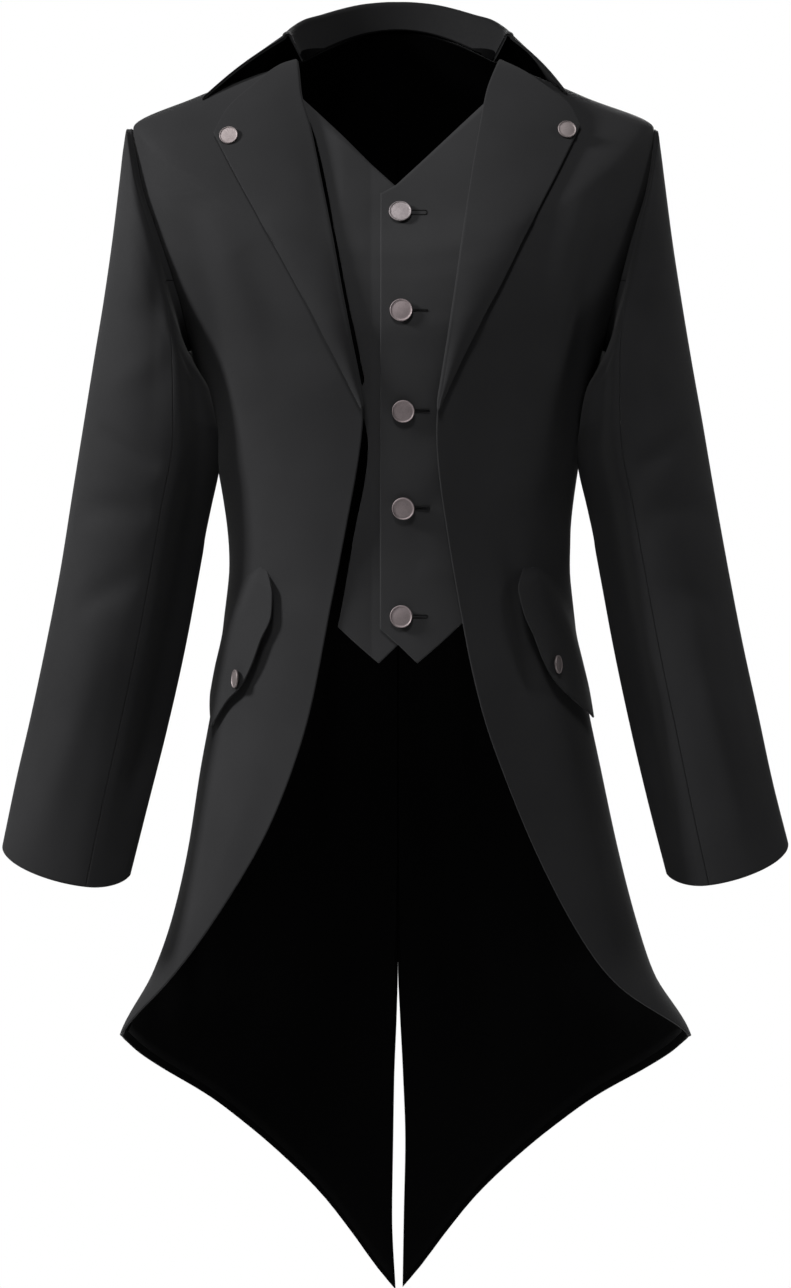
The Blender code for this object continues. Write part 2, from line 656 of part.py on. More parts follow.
def sleeve_surface(side):
    """Point of a sleeve by its turn (0 outer, 90 front) and its ring number."""
    rows = SLEEVE_RIGHT if side == RIGHT else SLEEVE_LEFT
    curves = table_curves(rows, list(range(7)))
    last = len(rows) - 1

    def plain(turn, ring):
        outer_x, outer_z, inner_x, inner_z, centre_y, front, back = [f(ring) for f in curves]
        c = np.cos(np.radians(turn))
        s = np.sin(np.radians(turn))
        power = SLEEVE_SQUARENESS
        reach = (np.abs(c) ** power + np.abs(s) ** power) ** (-1 / power)
        depth = np.where(s > 0, front, back)
        x = (outer_x + inner_x) / 2 + (outer_x - inner_x) / 2 * c * reach
        y = centre_y - depth * s * reach
        z = (outer_z + inner_z) / 2 + (outer_z - inner_z) / 2 * c * reach
        near_cuff = np.clip((ring - (last - CUFF_DROP_ROWS)) / CUFF_DROP_ROWS, 0, 1)
        z = z - CUFF_FRONT_DROP * near_cuff ** 2 * np.clip(s, 0, 1)
        return np.stack(np.broadcast_arrays(side * x, y, z), -1)

    def surface(turn, ring):
        turn, ring = np.broadcast_arrays(np.asarray(turn, float), np.asarray(ring, float))
        hole_angle, hole_level = armhole(turn)
        seam = form_point(hole_angle, hole_level, side)
        middle = (form_point(*armhole(0), side) + form_point(*armhole(180), side)) / 2
        inward = middle - seam
        inward = inward / np.linalg.norm(inward, axis=-1, keepdims=True)
        seam = seam + inward * ARMHOLE_GAP
        fade = np.clip(1 - ring / SLEEVE_HEAD_ROWS, 0, 1)[..., None] ** SLEEVE_HEAD_POWER
        return plain(turn, ring) + fade * (seam - plain(turn, 0.0))

    return surface, last


def sleeve_normal(surface, last, turn, ring, side):
    small_turn = 1.0
    small_ring = 0.05
    around = surface(turn + small_turn, ring) - surface(turn - small_turn, ring)
    along = surface(turn, np.minimum(ring + small_ring, last))
    along = along - surface(turn, np.maximum(ring - small_ring, 0))
    normal = np.cross(around, along)
    return normal / np.linalg.norm(normal, axis=-1, keepdims=True) * side


# Sleeves in two parts, upper and under, seamed along the forearm and the hind arm
for side, name in ((RIGHT, "right"), (LEFT, "left")):
    surface, last = sleeve_surface(side)
    ring = np.arange(last + 1, dtype=float)[:, None]
    steps = np.arange(-180, 360, 360 / SLEEVE_SEGMENTS)
    for part, start, end in (
        ("upper", -FOREARM_SEAM, FOREARM_SEAM),
        ("under", FOREARM_SEAM, 360 - FOREARM_SEAM),
    ):
        between = steps[(steps > start) & (steps < end)]
        turn = np.concatenate([[start], between, [end]])[None, :]
        points = surface(turn, ring)
        normal = sleeve_normal(surface, last, turn, ring, side)
        for column in (0, -1):
            points = trim(points, column=column, amount=SLEEVE_SEAM_TRIM)
        add_cloth(f"{part}_sleeve_{name}", points, points - normal * SHELL, BLACK)

# Collar: stand and turned-down leaf in one, round the neck from end to end
sections = []
for side in (RIGHT, LEFT):
    half = []
    for row in COLLAR_SECTIONS:
        angle, fold_out, fold_up, radius, leaf_angle, level_right, level_left, leaf_off = row
        leaf_level = level_right if side == RIGHT else level_left
        foot = form_point(angle, 0.0, side)
        out = foot * (1.0, 1.0, 0.0)
        out = out / np.linalg.norm(out)
        up = np.array((0.0, 0.0, 1.0))
        foot = foot - out * COLLAR_FOOT_IN + up * COLLAR_FOOT_UP
        fold = foot + out * fold_out + up * (fold_up - radius)
        leaf = form_point(leaf_angle, leaf_level, side)
        leaf = leaf + form_normal(leaf_angle, leaf_level, side) * leaf_off
        profile = [foot]
        turn_in = fold - out * radius
        profile.append((foot + turn_in) / 2)
        for turn in (180, 135, 90, 45, 0):
            ray = out * math.cos(math.radians(turn)) + up * math.sin(math.radians(turn))
            profile.append(fold + ray * radius)
        start = profile[-1]
        lift = np.cross(leaf - start, np.cross(up, out))
        lift = lift / np.linalg.norm(lift)
        if np.dot(lift, up) < 0:
            lift = -lift
        for share in (0.3, 0.65, 1.0):
            bulge = COLLAR_BULGE * math.sin(math.pi * share)
            profile.append(start * (1 - share) + leaf * share + lift * bulge)
        half.append(profile)
    sections += half if side == RIGHT else half[-2::-1]
grid = np.array(sections)
normal = grid_normals(grid, np.array((1.0, 0.0, 0.0)))
add_cloth("collar", grid + normal * COLLAR / 2, grid - normal * COLLAR / 2, BLACK)

# Buttons: five on the waistcoat, one on each lapel, one on each pocket flap
for number, (x, level) in enumerate(WAISTCOAT_BUTTONS, 1):
    angle = angle_at(np.array(x), level, LEFT)
    axis = form_normal(angle, level, LEFT)
    centre = form_point(angle, level, LEFT) - axis * (SHELL + WAISTCOAT_GAP - BUTTON_GAP)
    add_button(f"waistcoat_button_{number}", centre, axis, WAISTCOAT_BUTTON_RADIUS)
for side, name, first in ((RIGHT, "right", 0), (LEFT, "left", 2)):
    for kind, place, height in (
        ("lapel", LAPEL_BUTTON, lapel_height(LAPEL_BUTTON_SHARE) + LAPEL),
        ("flap", FLAP_BUTTON, flap_height(FLAP_BUTTON_SHARE) + FLAP),
    ):
        angle = np.array(place[first])
        level = np.array(place[first + 1])
        axis = form_normal(angle, level, side)
        centre = form_point(angle, level, side) + axis * (height + BUTTON_GAP)
        add_button(f"{kind}_button_{name}", centre, axis, SMALL_BUTTON_RADIUS)
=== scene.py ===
import math
import bmesh
import bpy
import numpy as np
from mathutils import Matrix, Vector


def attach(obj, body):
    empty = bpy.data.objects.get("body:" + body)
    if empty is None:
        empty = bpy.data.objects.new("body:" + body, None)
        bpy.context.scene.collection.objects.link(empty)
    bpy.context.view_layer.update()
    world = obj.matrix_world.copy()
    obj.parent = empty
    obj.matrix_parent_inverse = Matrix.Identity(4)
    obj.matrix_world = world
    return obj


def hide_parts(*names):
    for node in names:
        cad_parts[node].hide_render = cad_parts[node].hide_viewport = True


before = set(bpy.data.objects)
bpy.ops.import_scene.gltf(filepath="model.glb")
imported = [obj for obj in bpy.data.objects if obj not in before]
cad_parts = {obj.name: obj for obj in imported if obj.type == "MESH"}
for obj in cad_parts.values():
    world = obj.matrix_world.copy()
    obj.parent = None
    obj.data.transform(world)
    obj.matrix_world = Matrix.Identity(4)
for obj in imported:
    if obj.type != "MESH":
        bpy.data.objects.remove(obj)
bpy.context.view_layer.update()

# Fronts: two panels of matte black suiting, lined with satin behind a facing of the same
# suiting. Each is cut in one from the shoulder to the tail's corner. Its front edge is
# turned back at the roll line above, cut away below, and finished with a soft edge.
RIGHT, LEFT = -1, 1
SIDES = ((RIGHT, "right"), (LEFT, "left"))
PANEL_ROWS = 26
ARMHOLE_ROWS = 12
PANEL_FINE, PANEL_COLUMNS = 6, 40
EDGE_FINE = 20
CLOTH = 0.0016
FACING = 0.055
EDGE_ROUND = 0.3
HALVINGS, LEVEL_HALVINGS = 24, 18
NORMAL_TURN, NORMAL_STEP = 0.4, 0.0008
# level, half_width_right, half_width_left, front_depth, back_depth,
# front_drop, back_drop, squareness
BODY_RINGS = (
    (0.000, 0.0820, 0.0820, 0.072, 0.078, 0.085, -0.030, 2.00),
    (-0.012, 0.1195, 0.1135, 0.088, 0.094, 0.099, -0.014, 2.00),
    (-0.030, 0.1685, 0.1560, 0.103, 0.109, 0.109, 0.008, 2.05),
    (-0.056, 0.2210, 0.2135, 0.117, 0.122, 0.110, 0.026, 2.10),
    (-0.090, 0.2210, 0.2150, 0.123, 0.129, 0.097, 0.030, 2.15),
    (-0.130, 0.2135, 0.2090, 0.127, 0.132, 0.078, 0.026, 2.20),
    (-0.175, 0.1980, 0.1960, 0.129, 0.132, 0.050, 0.018, 2.25),
    (-0.240, 0.1730, 0.1710, 0.127, 0.126, 0.014, 0.005, 2.30),
    (-0.330, 0.1525, 0.1532, 0.118, 0.108, 0.000, 0.000, 2.30),
    (-0.417, 0.1415, 0.1442, 0.108, 0.096, 0.000, 0.000, 2.30),
    (-0.467, 0.1462, 0.1484, 0.110, 0.103, 0.000, 0.000, 2.30),
    (-0.534, 0.1555, 0.1585, 0.116, 0.117, 0.000, 0.000, 2.30),
    (-0.593, 0.1662, 0.1707, 0.119, 0.127, 0.000, 0.000, 2.30),
    (-0.660, 0.1768, 0.1852, 0.121, 0.134, 0.000, 0.000, 2.30),
    (-0.719, 0.1905, 0.2005, 0.121, 0.139, 0.000, 0.000, 2.25),
    (-0.765, 0.2070, 0.2160, 0.121, 0.143, 0.000, 0.000, 2.20),
    (-0.815, 0.2340, 0.2465, 0.120, 0.147, 0.000, 0.000, 2.15),
    (-0.900, 0.2560, 0.2680, 0.120, 0.153, 0.000, 0.000, 2.10),
    (-1.080, 0.2850, 0.2950, 0.120, 0.162, 0.000, 0.000, 2.10),
)
# right_angle, right_level, left_angle, left_level
FRONT_EDGE = (
    (0.0, 0.000, 0.0, 0.000), (-28.8, -0.003, -30.0, -0.001),
    (-41.5, -0.006, -42.5, -0.005), (-51.2, -0.010, -52.0, -0.009),
    (-59.3, -0.016, -59.8, -0.016), (-66.0, -0.024, -65.8, -0.025),
    (-72.2, -0.037, -71.8, -0.039), (-76.0, -0.056, -75.0, -0.058),
    (-77.8, -0.086, -76.5, -0.091), (-78.8, -0.126, -77.0, -0.134),
    (-79.2, -0.175, -77.2, -0.184), (-79.6, -0.221, -77.6, -0.228),
    (-80.0, -0.252, -78.0, -0.258), (-80.5, -0.280, -79.0, -0.284),
    (-79.3, -0.320, -79.0, -0.325), (-75.5, -0.362, -76.0, -0.367),
    (-71.5, -0.405, -72.8, -0.411), (-68.4, -0.448, -70.3, -0.455),
    (-66.2, -0.491, -68.0, -0.499), (-64.2, -0.534, -65.3, -0.543),
    (-61.0, -0.576, -61.2, -0.585), (-56.6, -0.618, -56.9, -0.627),
    (-50.5, -0.658, -52.3, -0.669), (-42.8, -0.696, -46.8, -0.709),
    (-33.6, -0.736, -40.6, -0.749), (-23.0, -0.775, -31.0, -0.787),
    (-7.0, -0.8135, -8.0, -0.8145),
)
# x, z of the roll line as seen from the front, from the shoulder to where it ends
ROLL_LINE_RIGHT = (
    (0.0823, 0.0000), (0.0815, -0.0218), (0.0739, -0.0554), (0.0647, -0.1016),
    (0.0550, -0.1478), (0.0428, -0.2066), (0.0330, -0.2528), (0.0269, -0.2822),
)
ROLL_LINE_LEFT = (
    (0.0823, 0.0000), (0.0748, -0.0218), (0.0690, -0.0554), (0.0612, -0.1016),
    (0.0536, -0.1478), (0.0438, -0.2066), (0.0361, -0.2528), (0.0311, -0.2822),
)
ROLL_END_ROW = 13
EDGE_EASE = 0.7
# angle, level, from the armhole's lowest point to the hem
SIDE_SEAM = (
    (0.0, -0.241), (3.0, -0.270), (5.0, -0.310), (6.5, -0.352), (7.5, -0.396),
    (8.0, -0.440), (8.0, -0.484), (8.0, -0.528), (8.0, -0.572), (8.0, -0.616),
    (8.0, -0.660), (8.0, -0.702), (8.0, -0.742), (8.0, -0.781), (8.0, -0.8215),
)
# turn, angle, level: shoulder 0, front 90, underarm 180, back 270
ARMHOLE = (
    (0, 0.0, -0.0575), (30, -10.5, -0.071), (60, -20.0, -0.104),
    (90, -25.0, -0.147), (120, -22.5, -0.190), (150, -12.5, -0.226),
    (180, 0.0, -0.241), (210, 12.5, -0.226), (240, 22.5, -0.190),
    (270, 25.0, -0.147), (300, 21.0, -0.104), (330, 11.5, -0.071),
)
# how far the front stops short inside the lapel's roll, and how far that reaches
HELD_BACK, HELD_BACK_REACH = 0.0030, 0.008
# below the roll it stands off the waistcoat, between two rows
FRONT_STANDS_OFF, STANDS_REACH = 0.0030, 0.018
STANDS_ROWS, STANDS_EASE = (12.0, 24.0), 4
# folds fade out toward a panel's free edge and toward its seam
EDGE_FADE, SEAM_FADE = 0.03, 0.02
# Soft folds in the fronts, by the distance to the wearer's side and the height of both
# ends: x0, z0, x1, z1, half_width, height (a trough is below 0), bow
FRONT_FOLDS_RIGHT = (
    (0.180, -0.115, 0.146, -0.330, 0.012, -0.0040, 0.010),
    (0.158, -0.120, 0.118, -0.290, 0.015, 0.0024, 0.012),
    (0.128, -0.160, 0.050, -0.262, 0.018, -0.0024, -0.012),
    (0.140, -0.345, 0.085, -0.405, 0.012, -0.0012, 0.008),
    (0.142, -0.420, 0.070, -0.440, 0.011, -0.0010, -0.006),
    (0.120, -0.560, 0.165, -0.760, 0.020, 0.0022, 0.010),
    (0.090, -0.560, 0.130, -0.760, 0.018, -0.0020, 0.012),
)
FRONT_FOLDS_LEFT = (
    (0.178, -0.095, 0.138, -0.400, 0.011, -0.0062, 0.010),
    (0.157, -0.105, 0.114, -0.380, 0.015, 0.0036, 0.012),
    (0.120, -0.150, 0.060, -0.250, 0.016, -0.0010, -0.012),
    (0.140, -0.350, 0.080, -0.415, 0.012, -0.0014, 0.008),
    (0.146, -0.425, 0.085, -0.438, 0.010, -0.0010, -0.006),
    (0.130, -0.560, 0.180, -0.760, 0.020, 0.0022, 0.010),
    (0.098, -0.560, 0.142, -0.760, 0.018, -0.0022, 0.012),
    (0.084, -0.395, 0.113, -0.545, 0.009, -0.0065, -0.004),
)


def smooth_curve(stations, values):
    """Curve through the values that never overshoots between two stations."""
    xs, ys = np.asarray(stations, float), np.asarray(values, float)
    order = np.argsort(xs)
    xs, ys = xs[order], ys[order]
    step = np.diff(xs)
    rise = np.diff(ys) / step
    slope = np.zeros_like(ys)
    slope[0], slope[-1] = rise[0], rise[-1]
    for i in range(1, len(xs) - 1):
        if rise[i - 1] * rise[i] > 0:
            near, far = 2 * step[i] + step[i - 1], step[i] + 2 * step[i - 1]
            slope[i] = (near + far) / (near / rise[i - 1] + far / rise[i])

    def value(x):
        x = np.clip(x, xs[0], xs[-1])
        i = np.clip(np.searchsorted(xs, x) - 1, 0, len(xs) - 2)
        t = (x - xs[i]) / step[i]
        return (
            (1 + 2 * t) * (1 - t) ** 2 * ys[i]
            + t * (1 - t) ** 2 * step[i] * slope[i]
            + t * t * (3 - 2 * t) * ys[i + 1]
            + t * t * (t - 1) * step[i] * slope[i + 1]
        )

    return value


def column_curves(rows, columns, closed=False):
    """One smooth curve per column of a table, by row number."""
    table = np.asarray(rows, float)[:, columns]
    stations = np.arange(len(table), dtype=float)
    if closed:
        stations = np.arange(-2.0, len(table) + 3.0)
        table = np.concatenate([table[-2:], table, table[:3]])
    return [smooth_curve(stations, table[:, k]) for k in range(table.shape[1])]


ring_levels = [ring[0] for ring in BODY_RINGS]
ring_curves = [smooth_curve(ring_levels, [ring[k] for ring in BODY_RINGS]) for k in range(1, 8)]
armhole_curves = column_curves(ARMHOLE, [1, 2], closed=True)


def body_point(angle, level, side):
    """Point of the filled-out body at an angle in degrees and a ring level."""
    c, s = np.cos(np.radians(angle)), np.sin(np.radians(angle))
    right, left, front, back, front_drop, back_drop, power = [f(level) for f in ring_curves]
    half = np.where(side * c < 0, right, left)
    depth = np.where(s < 0, front, back)
    drop = np.where(s < 0, front_drop, back_drop)
    reach = (np.abs(c) ** power + np.abs(s) ** power) ** (-1 / power)
    return np.stack([side * half * c * reach, depth * s * reach, level - drop * s * s], -1)


def unit(vectors):
    return vectors / np.linalg.norm(vectors, axis=-1, keepdims=True)


def body_normal(angle, level, side):
    low = np.maximum(level - NORMAL_STEP, ring_levels[-1])
    high = np.minimum(level + NORMAL_STEP, 0.0)
    across = body_point(angle + NORMAL_TURN, level, side)
    across = across - body_point(angle - NORMAL_TURN, level, side)
    down = body_point(angle, low, side) - body_point(angle, high, side)
    return unit(np.cross(across, down)) * -side


def armhole(turn):
    """Angle and level of the armhole's edge at a turn round it."""
    place = (np.asarray(turn, float) % 360) / 360 * len(ARMHOLE)
    return armhole_curves[0](place), armhole_curves[1](place)


def edge(rows, columns, scale=1.0):
    curves = column_curves(rows, columns)
    count = (len(rows) - 1) * scale
    return lambda t: (curves[0](t * count), curves[1](t * count))


def by_side(side):
    return [0, 1] if side == RIGHT else [2, 3]


def angle_at(x, level, side):
    """Front angle whose point is x from the centre line, toward the wearer's side."""
    low, high = np.full(np.shape(x), -120.0), np.full(np.shape(x), 0.0)
    for _ in range(HALVINGS):
        middle = (low + high) / 2
        short = body_point(middle, level, side)[..., 0] * side < x
        low, high = np.where(short, middle, low), np.where(short, high, middle)
    return (low + high) / 2


def place_seen(x, z, side):
    """Angle and level of the front's point that is seen at x and height z."""
    x, z = np.broadcast_arrays(np.asarray(x, float), np.asarray(z, float))
    low, high = z + 0.0, 0 * z
    for _ in range(LEVEL_HALVINGS):
        level = (low + high) / 2
        lower = body_point(angle_at(x, level, side), level, side)[..., 2] < z
        low, high = np.where(lower, level, low), np.where(lower, high, level)
    return angle_at(x, level, side), level


def seen_edge(rows, side):
    """An edge given by x and z as seen from the front: 0 to 1 along it to its place."""
    rows = np.array(rows)
    far = np.concatenate([[0.0], np.cumsum(np.linalg.norm(np.diff(rows, axis=0), axis=1))])
    along = np.linspace(0, 1, 161)
    x = smooth_curve(far / far[-1], rows[:, 0])(along)
    z = smooth_curve(far / far[-1], rows[:, 1])(along)
    angle, level = place_seen(x, z, side)
    return lambda t: (np.interp(t, along, angle), np.interp(t, along, level))


def eased(values, reach):
    """Values along an edge with their small waves taken out, the ends kept."""
    kernel = np.exp(-0.5 * (np.arange(-3 * reach, 3 * reach + 1) / reach) ** 2)
    pad = len(kernel) // 2
    before = 2 * values[0] - values[pad:0:-1]
    after = 2 * values[-1] - values[-2:-pad - 2:-1]
    return np.convolve(np.concatenate([before, values, after]), kernel / kernel.sum(), "valid")


def front_edge(side):
    """The front's edge: a straight-seen roll line, then the eased cut-away."""
    row = np.linspace(0, PANEL_ROWS, EDGE_FINE * PANEL_ROWS + 1)
    curves = column_curves(FRONT_EDGE, by_side(side))
    angle, level = curves[0](row), curves[1](row)
    seen = body_point(angle, level, side)
    line = np.array(ROLL_LINE_RIGHT if side == RIGHT else ROLL_LINE_LEFT)
    upper = row <= ROLL_END_ROW + 0.5
    x = smooth_curve(line[:, 1], line[:, 0])(seen[upper, 2])
    roll_angle, roll_level = place_seen(x, seen[upper, 2], side)
    share = np.clip(ROLL_END_ROW + 0.5 - row[upper], 0, 1)
    share = share * share * (3 - 2 * share)
    reach = int(EDGE_FINE * EDGE_EASE)
    angle, level = eased(angle, reach), eased(level, reach)
    angle[upper] += share * (roll_angle - angle[upper])
    level[upper] += share * (roll_level - level[upper])
    return lambda t: (np.interp(t * PANEL_ROWS, row, angle), np.interp(t * PANEL_ROWS, row, level))


def panel_outer(way):
    """Outer edge of a body panel: armhole, then side seam. Way 1 front, -1 back."""
    seam = column_curves(SIDE_SEAM, [0, 1])

    def place(t):
        row = t * PANEL_ROWS
        hole = armhole(way * 180 * np.clip(row / ARMHOLE_ROWS, 0, 1))
        below = row > ARMHOLE_ROWS
        return [np.where(below, seam[k](row - ARMHOLE_ROWS), hole[k]) for k in (0, 1)]

    return place


def between(inner, outer, v, u, first=None, last=None):
    """Angles and levels of a piece between its edges, for columns v and shares u."""
    result = []
    for k in (0, 1):
        near, far = inner(v)[k], outer(v)[k]
        plain = near * (1 - u) + far * u
        if first is not None:
            plain = plain + (1 - v) ** 3 * (first(u)[k] - near[:1] * (1 - u) - far[:1] * u)
        if last is not None:
            plain = plain + v ** 2 * (last(u)[k] - near[-1:] * (1 - u) - far[-1:] * u)
        result.append(plain)
    return result


def shares(width, count, margins=(0.0, 0.0012, 0.0030, 0.0060)):
    """Shares across rows of given widths: even, with closer ones beside both edges."""
    width = np.atleast_1d(width)[:, None]
    close = np.array(margins)[None, :] / np.maximum(width, 4 * margins[-1])
    inside = np.linspace(0, 1, count + 1)[None, 1:-1]
    rest = close[:, -1:] + (1 - 2 * close[:, -1:]) * inside
    return np.concatenate([close, rest, 1 - close[:, ::-1]], axis=1)


def panel_steps(rows, fine):
    """Row numbers along a panel, with closer ones beside its two ends."""
    close = np.array([0.0, 0.04, 0.10, 0.2])
    inside = np.arange(1, rows * fine) / fine
    inside = inside[(inside > 0.25) & (inside < rows - 0.25)]
    return np.concatenate([close, inside, rows - close[::-1]])[:, None] / rows


def row_widths(points):
    return np.linalg.norm(np.diff(points, axis=1), axis=-1).sum(axis=1)


def panel_places(inner, outer, v, count, side, first=None, last=None):
    """Angle and level grids of a panel, its columns set by its own width in each row."""
    rough = between(inner, outer, v, np.linspace(0, 1, 17)[None, :], first, last)
    width = row_widths(body_point(*rough, side))
    return between(inner, outer, v, shares(width, count), first, last)


def fold_heights(a, b, folds):
    """Height of soft folds over a grid, from each fold's two ends, width and bow."""
    height = np.zeros(np.broadcast(a, b).shape)
    for a0, b0, a1, b1, half_width, high, bow in folds:
        long = math.hypot(a1 - a0, b1 - b0)
        along = ((a - a0) * (a1 - a0) + (b - b0) * (b1 - b0)) / long ** 2
        away = ((a - a0) * (b1 - b0) - (b - b0) * (a1 - a0)) / long
        rise = 4 * along * (1 - along)
        away = away - bow * rise
        height += high * np.clip(rise, 0, 1) ** 0.8 * np.exp(-((away / half_width) ** 2))
    return height


def arc_lengths(points):
    """Distances across and down a grid, in metres of cloth, for the weave."""
    across = np.linalg.norm(np.diff(points, axis=1), axis=-1)
    across = np.concatenate([np.zeros((len(points), 1)), np.cumsum(across, axis=1)], axis=1)
    across -= across[:, -1:] / 2
    down = np.linalg.norm(np.diff(points, axis=0), axis=-1).mean(axis=1)
    down = np.concatenate([[0.0], np.cumsum(down)])[:, None]
    return np.stack(np.broadcast_arrays(across, down), -1)


def border(rows, columns):
    """Grid places round the edge of a grid, and their neighbours one step in."""
    walk = [(0, j) for j in range(columns)]
    walk += [(i, columns - 1) for i in range(1, rows)]
    walk += [(rows - 1, j) for j in range(columns - 2, -1, -1)]
    walk += [(i, 0) for i in range(rows - 2, 0, -1)]
    walk = np.array(walk)
    return walk, np.clip(walk, 1, [rows - 2, columns - 2])


def cut_cloth(name, outer, inner, finish, lining=None, lined=None):
    """A panel between two grids of points, its edges turned in a soft round."""
    rows, columns = outer.shape[:2]
    rim, within = border(rows, columns)
    far = outer[rim[:, 0], rim[:, 1]]
    near = inner[rim[:, 0], rim[:, 1]]
    out = unit((far + near) / 2 - (outer[tuple(within.T)] + inner[tuple(within.T)]) / 2)
    thick = np.linalg.norm(far - near, axis=1, keepdims=True)
    middle = (far + near) / 2
    outer, inner = outer.copy(), inner.copy()
    outer[rim[:, 0], rim[:, 1]] = far - out * thick * EDGE_ROUND
    inner[rim[:, 0], rim[:, 1]] = near - out * thick * EDGE_ROUND
    grain = arc_lengths(outer)
    count = rows * columns
    vertices = np.concatenate([outer.reshape(-1, 3), inner.reshape(-1, 3), middle])
    grains = grain.reshape(-1, 2)
    grains = np.concatenate([grains, grains, grain[rim[:, 0], rim[:, 1]]])
    corner = (np.arange(rows - 1)[:, None] * columns + np.arange(columns - 1)).reshape(-1)
    quads = np.stack([corner, corner + 1, corner + columns + 1, corner + columns], 1)
    flat = rim[:, 0] * columns + rim[:, 1]
    after = np.roll(flat, -1)
    mid = 2 * count + np.arange(len(rim))
    mid_after = np.roll(mid, -1)
    upper_rim = np.stack([flat, mid, mid_after, after], 1)
    lower_rim = np.stack([mid, flat + count, after + count, mid_after], 1)
    faces = np.concatenate([quads, quads[:, ::-1] + count, upper_rim, lower_rim])
    slots = np.zeros(len(faces), int)
    if lining is not None:
        behind = np.ones((rows, columns), bool) if lined is None else lined
        slots[len(quads):2 * len(quads)] = behind[:-1, :-1].reshape(-1)
        slots[-len(rim):] = behind[rim[:, 0], rim[:, 1]]
    finishes = [finish] + [lining] * (lining is not None)
    return sew_mesh(name, vertices, faces, grains, finishes, slots)


def sew_mesh(name, vertices, faces, grains, finishes, slots=None):
    mesh = bpy.data.meshes.new(name)
    mesh.from_pydata(vertices.tolist(), [], faces.tolist())
    for finish in finishes:
        mesh.materials.append(finish)
    if slots is not None:
        mesh.polygons.foreach_set("material_index", np.asarray(slots, np.int32))
    corners = np.zeros(len(mesh.loops), np.int32)
    mesh.loops.foreach_get("vertex_index", corners)
    grain_map = mesh.uv_layers.new(name="grain")
    grain_map.data.foreach_set("uv", grains[corners].astype(np.float32).reshape(-1))
    mesh.polygons.foreach_set("use_smooth", np.ones(len(faces), bool))
    build = bmesh.new()
    build.from_mesh(mesh)
    bmesh.ops.recalc_face_normals(build, faces=build.faces)
    build.to_mesh(mesh)
    build.free()
    made = bpy.data.objects.new(name, mesh)
    bpy.context.scene.collection.objects.link(made)
    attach(made, "root")
    return made


def new_group(name, inputs, outputs):
    """An empty node group with named inputs (name, kind, value) and outputs."""
    group = bpy.data.node_groups.new(name, "ShaderNodeTree")
    for label, kind, value in inputs:
        socket = group.interface.new_socket(label, in_out="INPUT", socket_type=kind)
        if value is not None:
            socket.default_value = value
    for label, kind in outputs:
        group.interface.new_socket(label, in_out="OUTPUT", socket_type=kind)
    nodes = group.nodes
    return group, nodes.new("NodeGroupInput"), nodes.new("NodeGroupOutput")


def joined(tree, kind, links, **values):
    """A node of a tree with its settings, and its inputs linked or set."""
    made = tree.nodes.new(kind)
    for label, value in values.items():
        setattr(made, label, value)
    for socket, source in links.items():
        if isinstance(source, bpy.types.NodeSocket):
            tree.links.new(source, made.inputs[socket])
        else:
            made.inputs[socket].default_value = source
    return made


def twill_weave():
    """Fine diagonal ribs of a suiting with the cross threads that cut them."""
    group, given, out = new_group(
        "twill_weave",
        [("Grain", "NodeSocketVector", None), ("Rib", "NodeSocketFloat", 0.0008)],
        [("Height", "NodeSocketFloat"), ("Thread", "NodeSocketFloat")],
    )
    split = joined(group, "ShaderNodeSeparateXYZ", {0: given.outputs["Grain"]})
    turn = joined(
        group, "ShaderNodeMath", {0: split.outputs[1], 1: 0.52, 2: split.outputs[0]},
        operation="MULTIPLY_ADD",
    )
    ribs = joined(
        group, "ShaderNodeMath", {0: turn.outputs[0], 1: given.outputs["Rib"]}, operation="DIVIDE"
    )
    ribs = joined(
        group, "ShaderNodeMath", {0: ribs.outputs[0], 1: 2 * math.pi}, operation="MULTIPLY"
    )
    ribs = joined(group, "ShaderNodeMath", {0: ribs.outputs[0]}, operation="SINE")
    cross = joined(
        group, "ShaderNodeMath", {0: split.outputs[1], 1: given.outputs["Rib"]}, operation="DIVIDE"
    )
    cross = joined(
        group, "ShaderNodeMath", {0: cross.outputs[0], 1: 4.6 * math.pi}, operation="MULTIPLY"
    )
    cross = joined(group, "ShaderNodeMath", {0: cross.outputs[0]}, operation="SINE")
    both = joined(
        group, "ShaderNodeMath", {0: cross.outputs[0], 1: 0.35, 2: ribs.outputs[0]},
        operation="MULTIPLY_ADD",
    )
    mask = joined(
        group, "ShaderNodeMapRange",
        {"Value": both.outputs[0], "From Min": -1.35, "From Max": 1.35,
         "To Min": 0.0, "To Max": 1.0},
    )
    group.links.new(mask.outputs[0], out.inputs["Height"])
    group.links.new(mask.outputs[0], out.inputs["Thread"])
    return group


def cloth_tone():
    """Slow unevenness of dyed cloth, with a little rubbing and lint in it."""
    group, given, out = new_group(
        "cloth_tone",
        [("Place", "NodeSocketVector", None), ("Size", "NodeSocketFloat", 9.0)],
        [("Tone", "NodeSocketFloat"), ("Fuzz", "NodeSocketFloat")],
    )
    broad = joined(
        group, "ShaderNodeTexNoise",
        {"Vector": given.outputs["Place"], "Scale": given.outputs["Size"], "Detail": 3.0,
         "Roughness": 0.55},
    )
    fine = joined(
        group, "ShaderNodeTexNoise",
        {"Vector": given.outputs["Place"], "Scale": 420.0, "Detail": 2.0, "Roughness": 0.6},
    )
    group.links.new(broad.outputs[0], out.inputs["Tone"])
    group.links.new(fine.outputs[0], out.inputs["Fuzz"])
    return group


weave_group = twill_weave()
tone_group = cloth_tone()
SHEEN_ROUGHNESS = 0.45
ROUGHNESS_SPREAD = 0.06
THREAD_SHARE, FUZZ_SHARE, FUZZ_RELIEF = 0.35, 0.25, 0.5
RELIEF_DEPTH = 0.00012


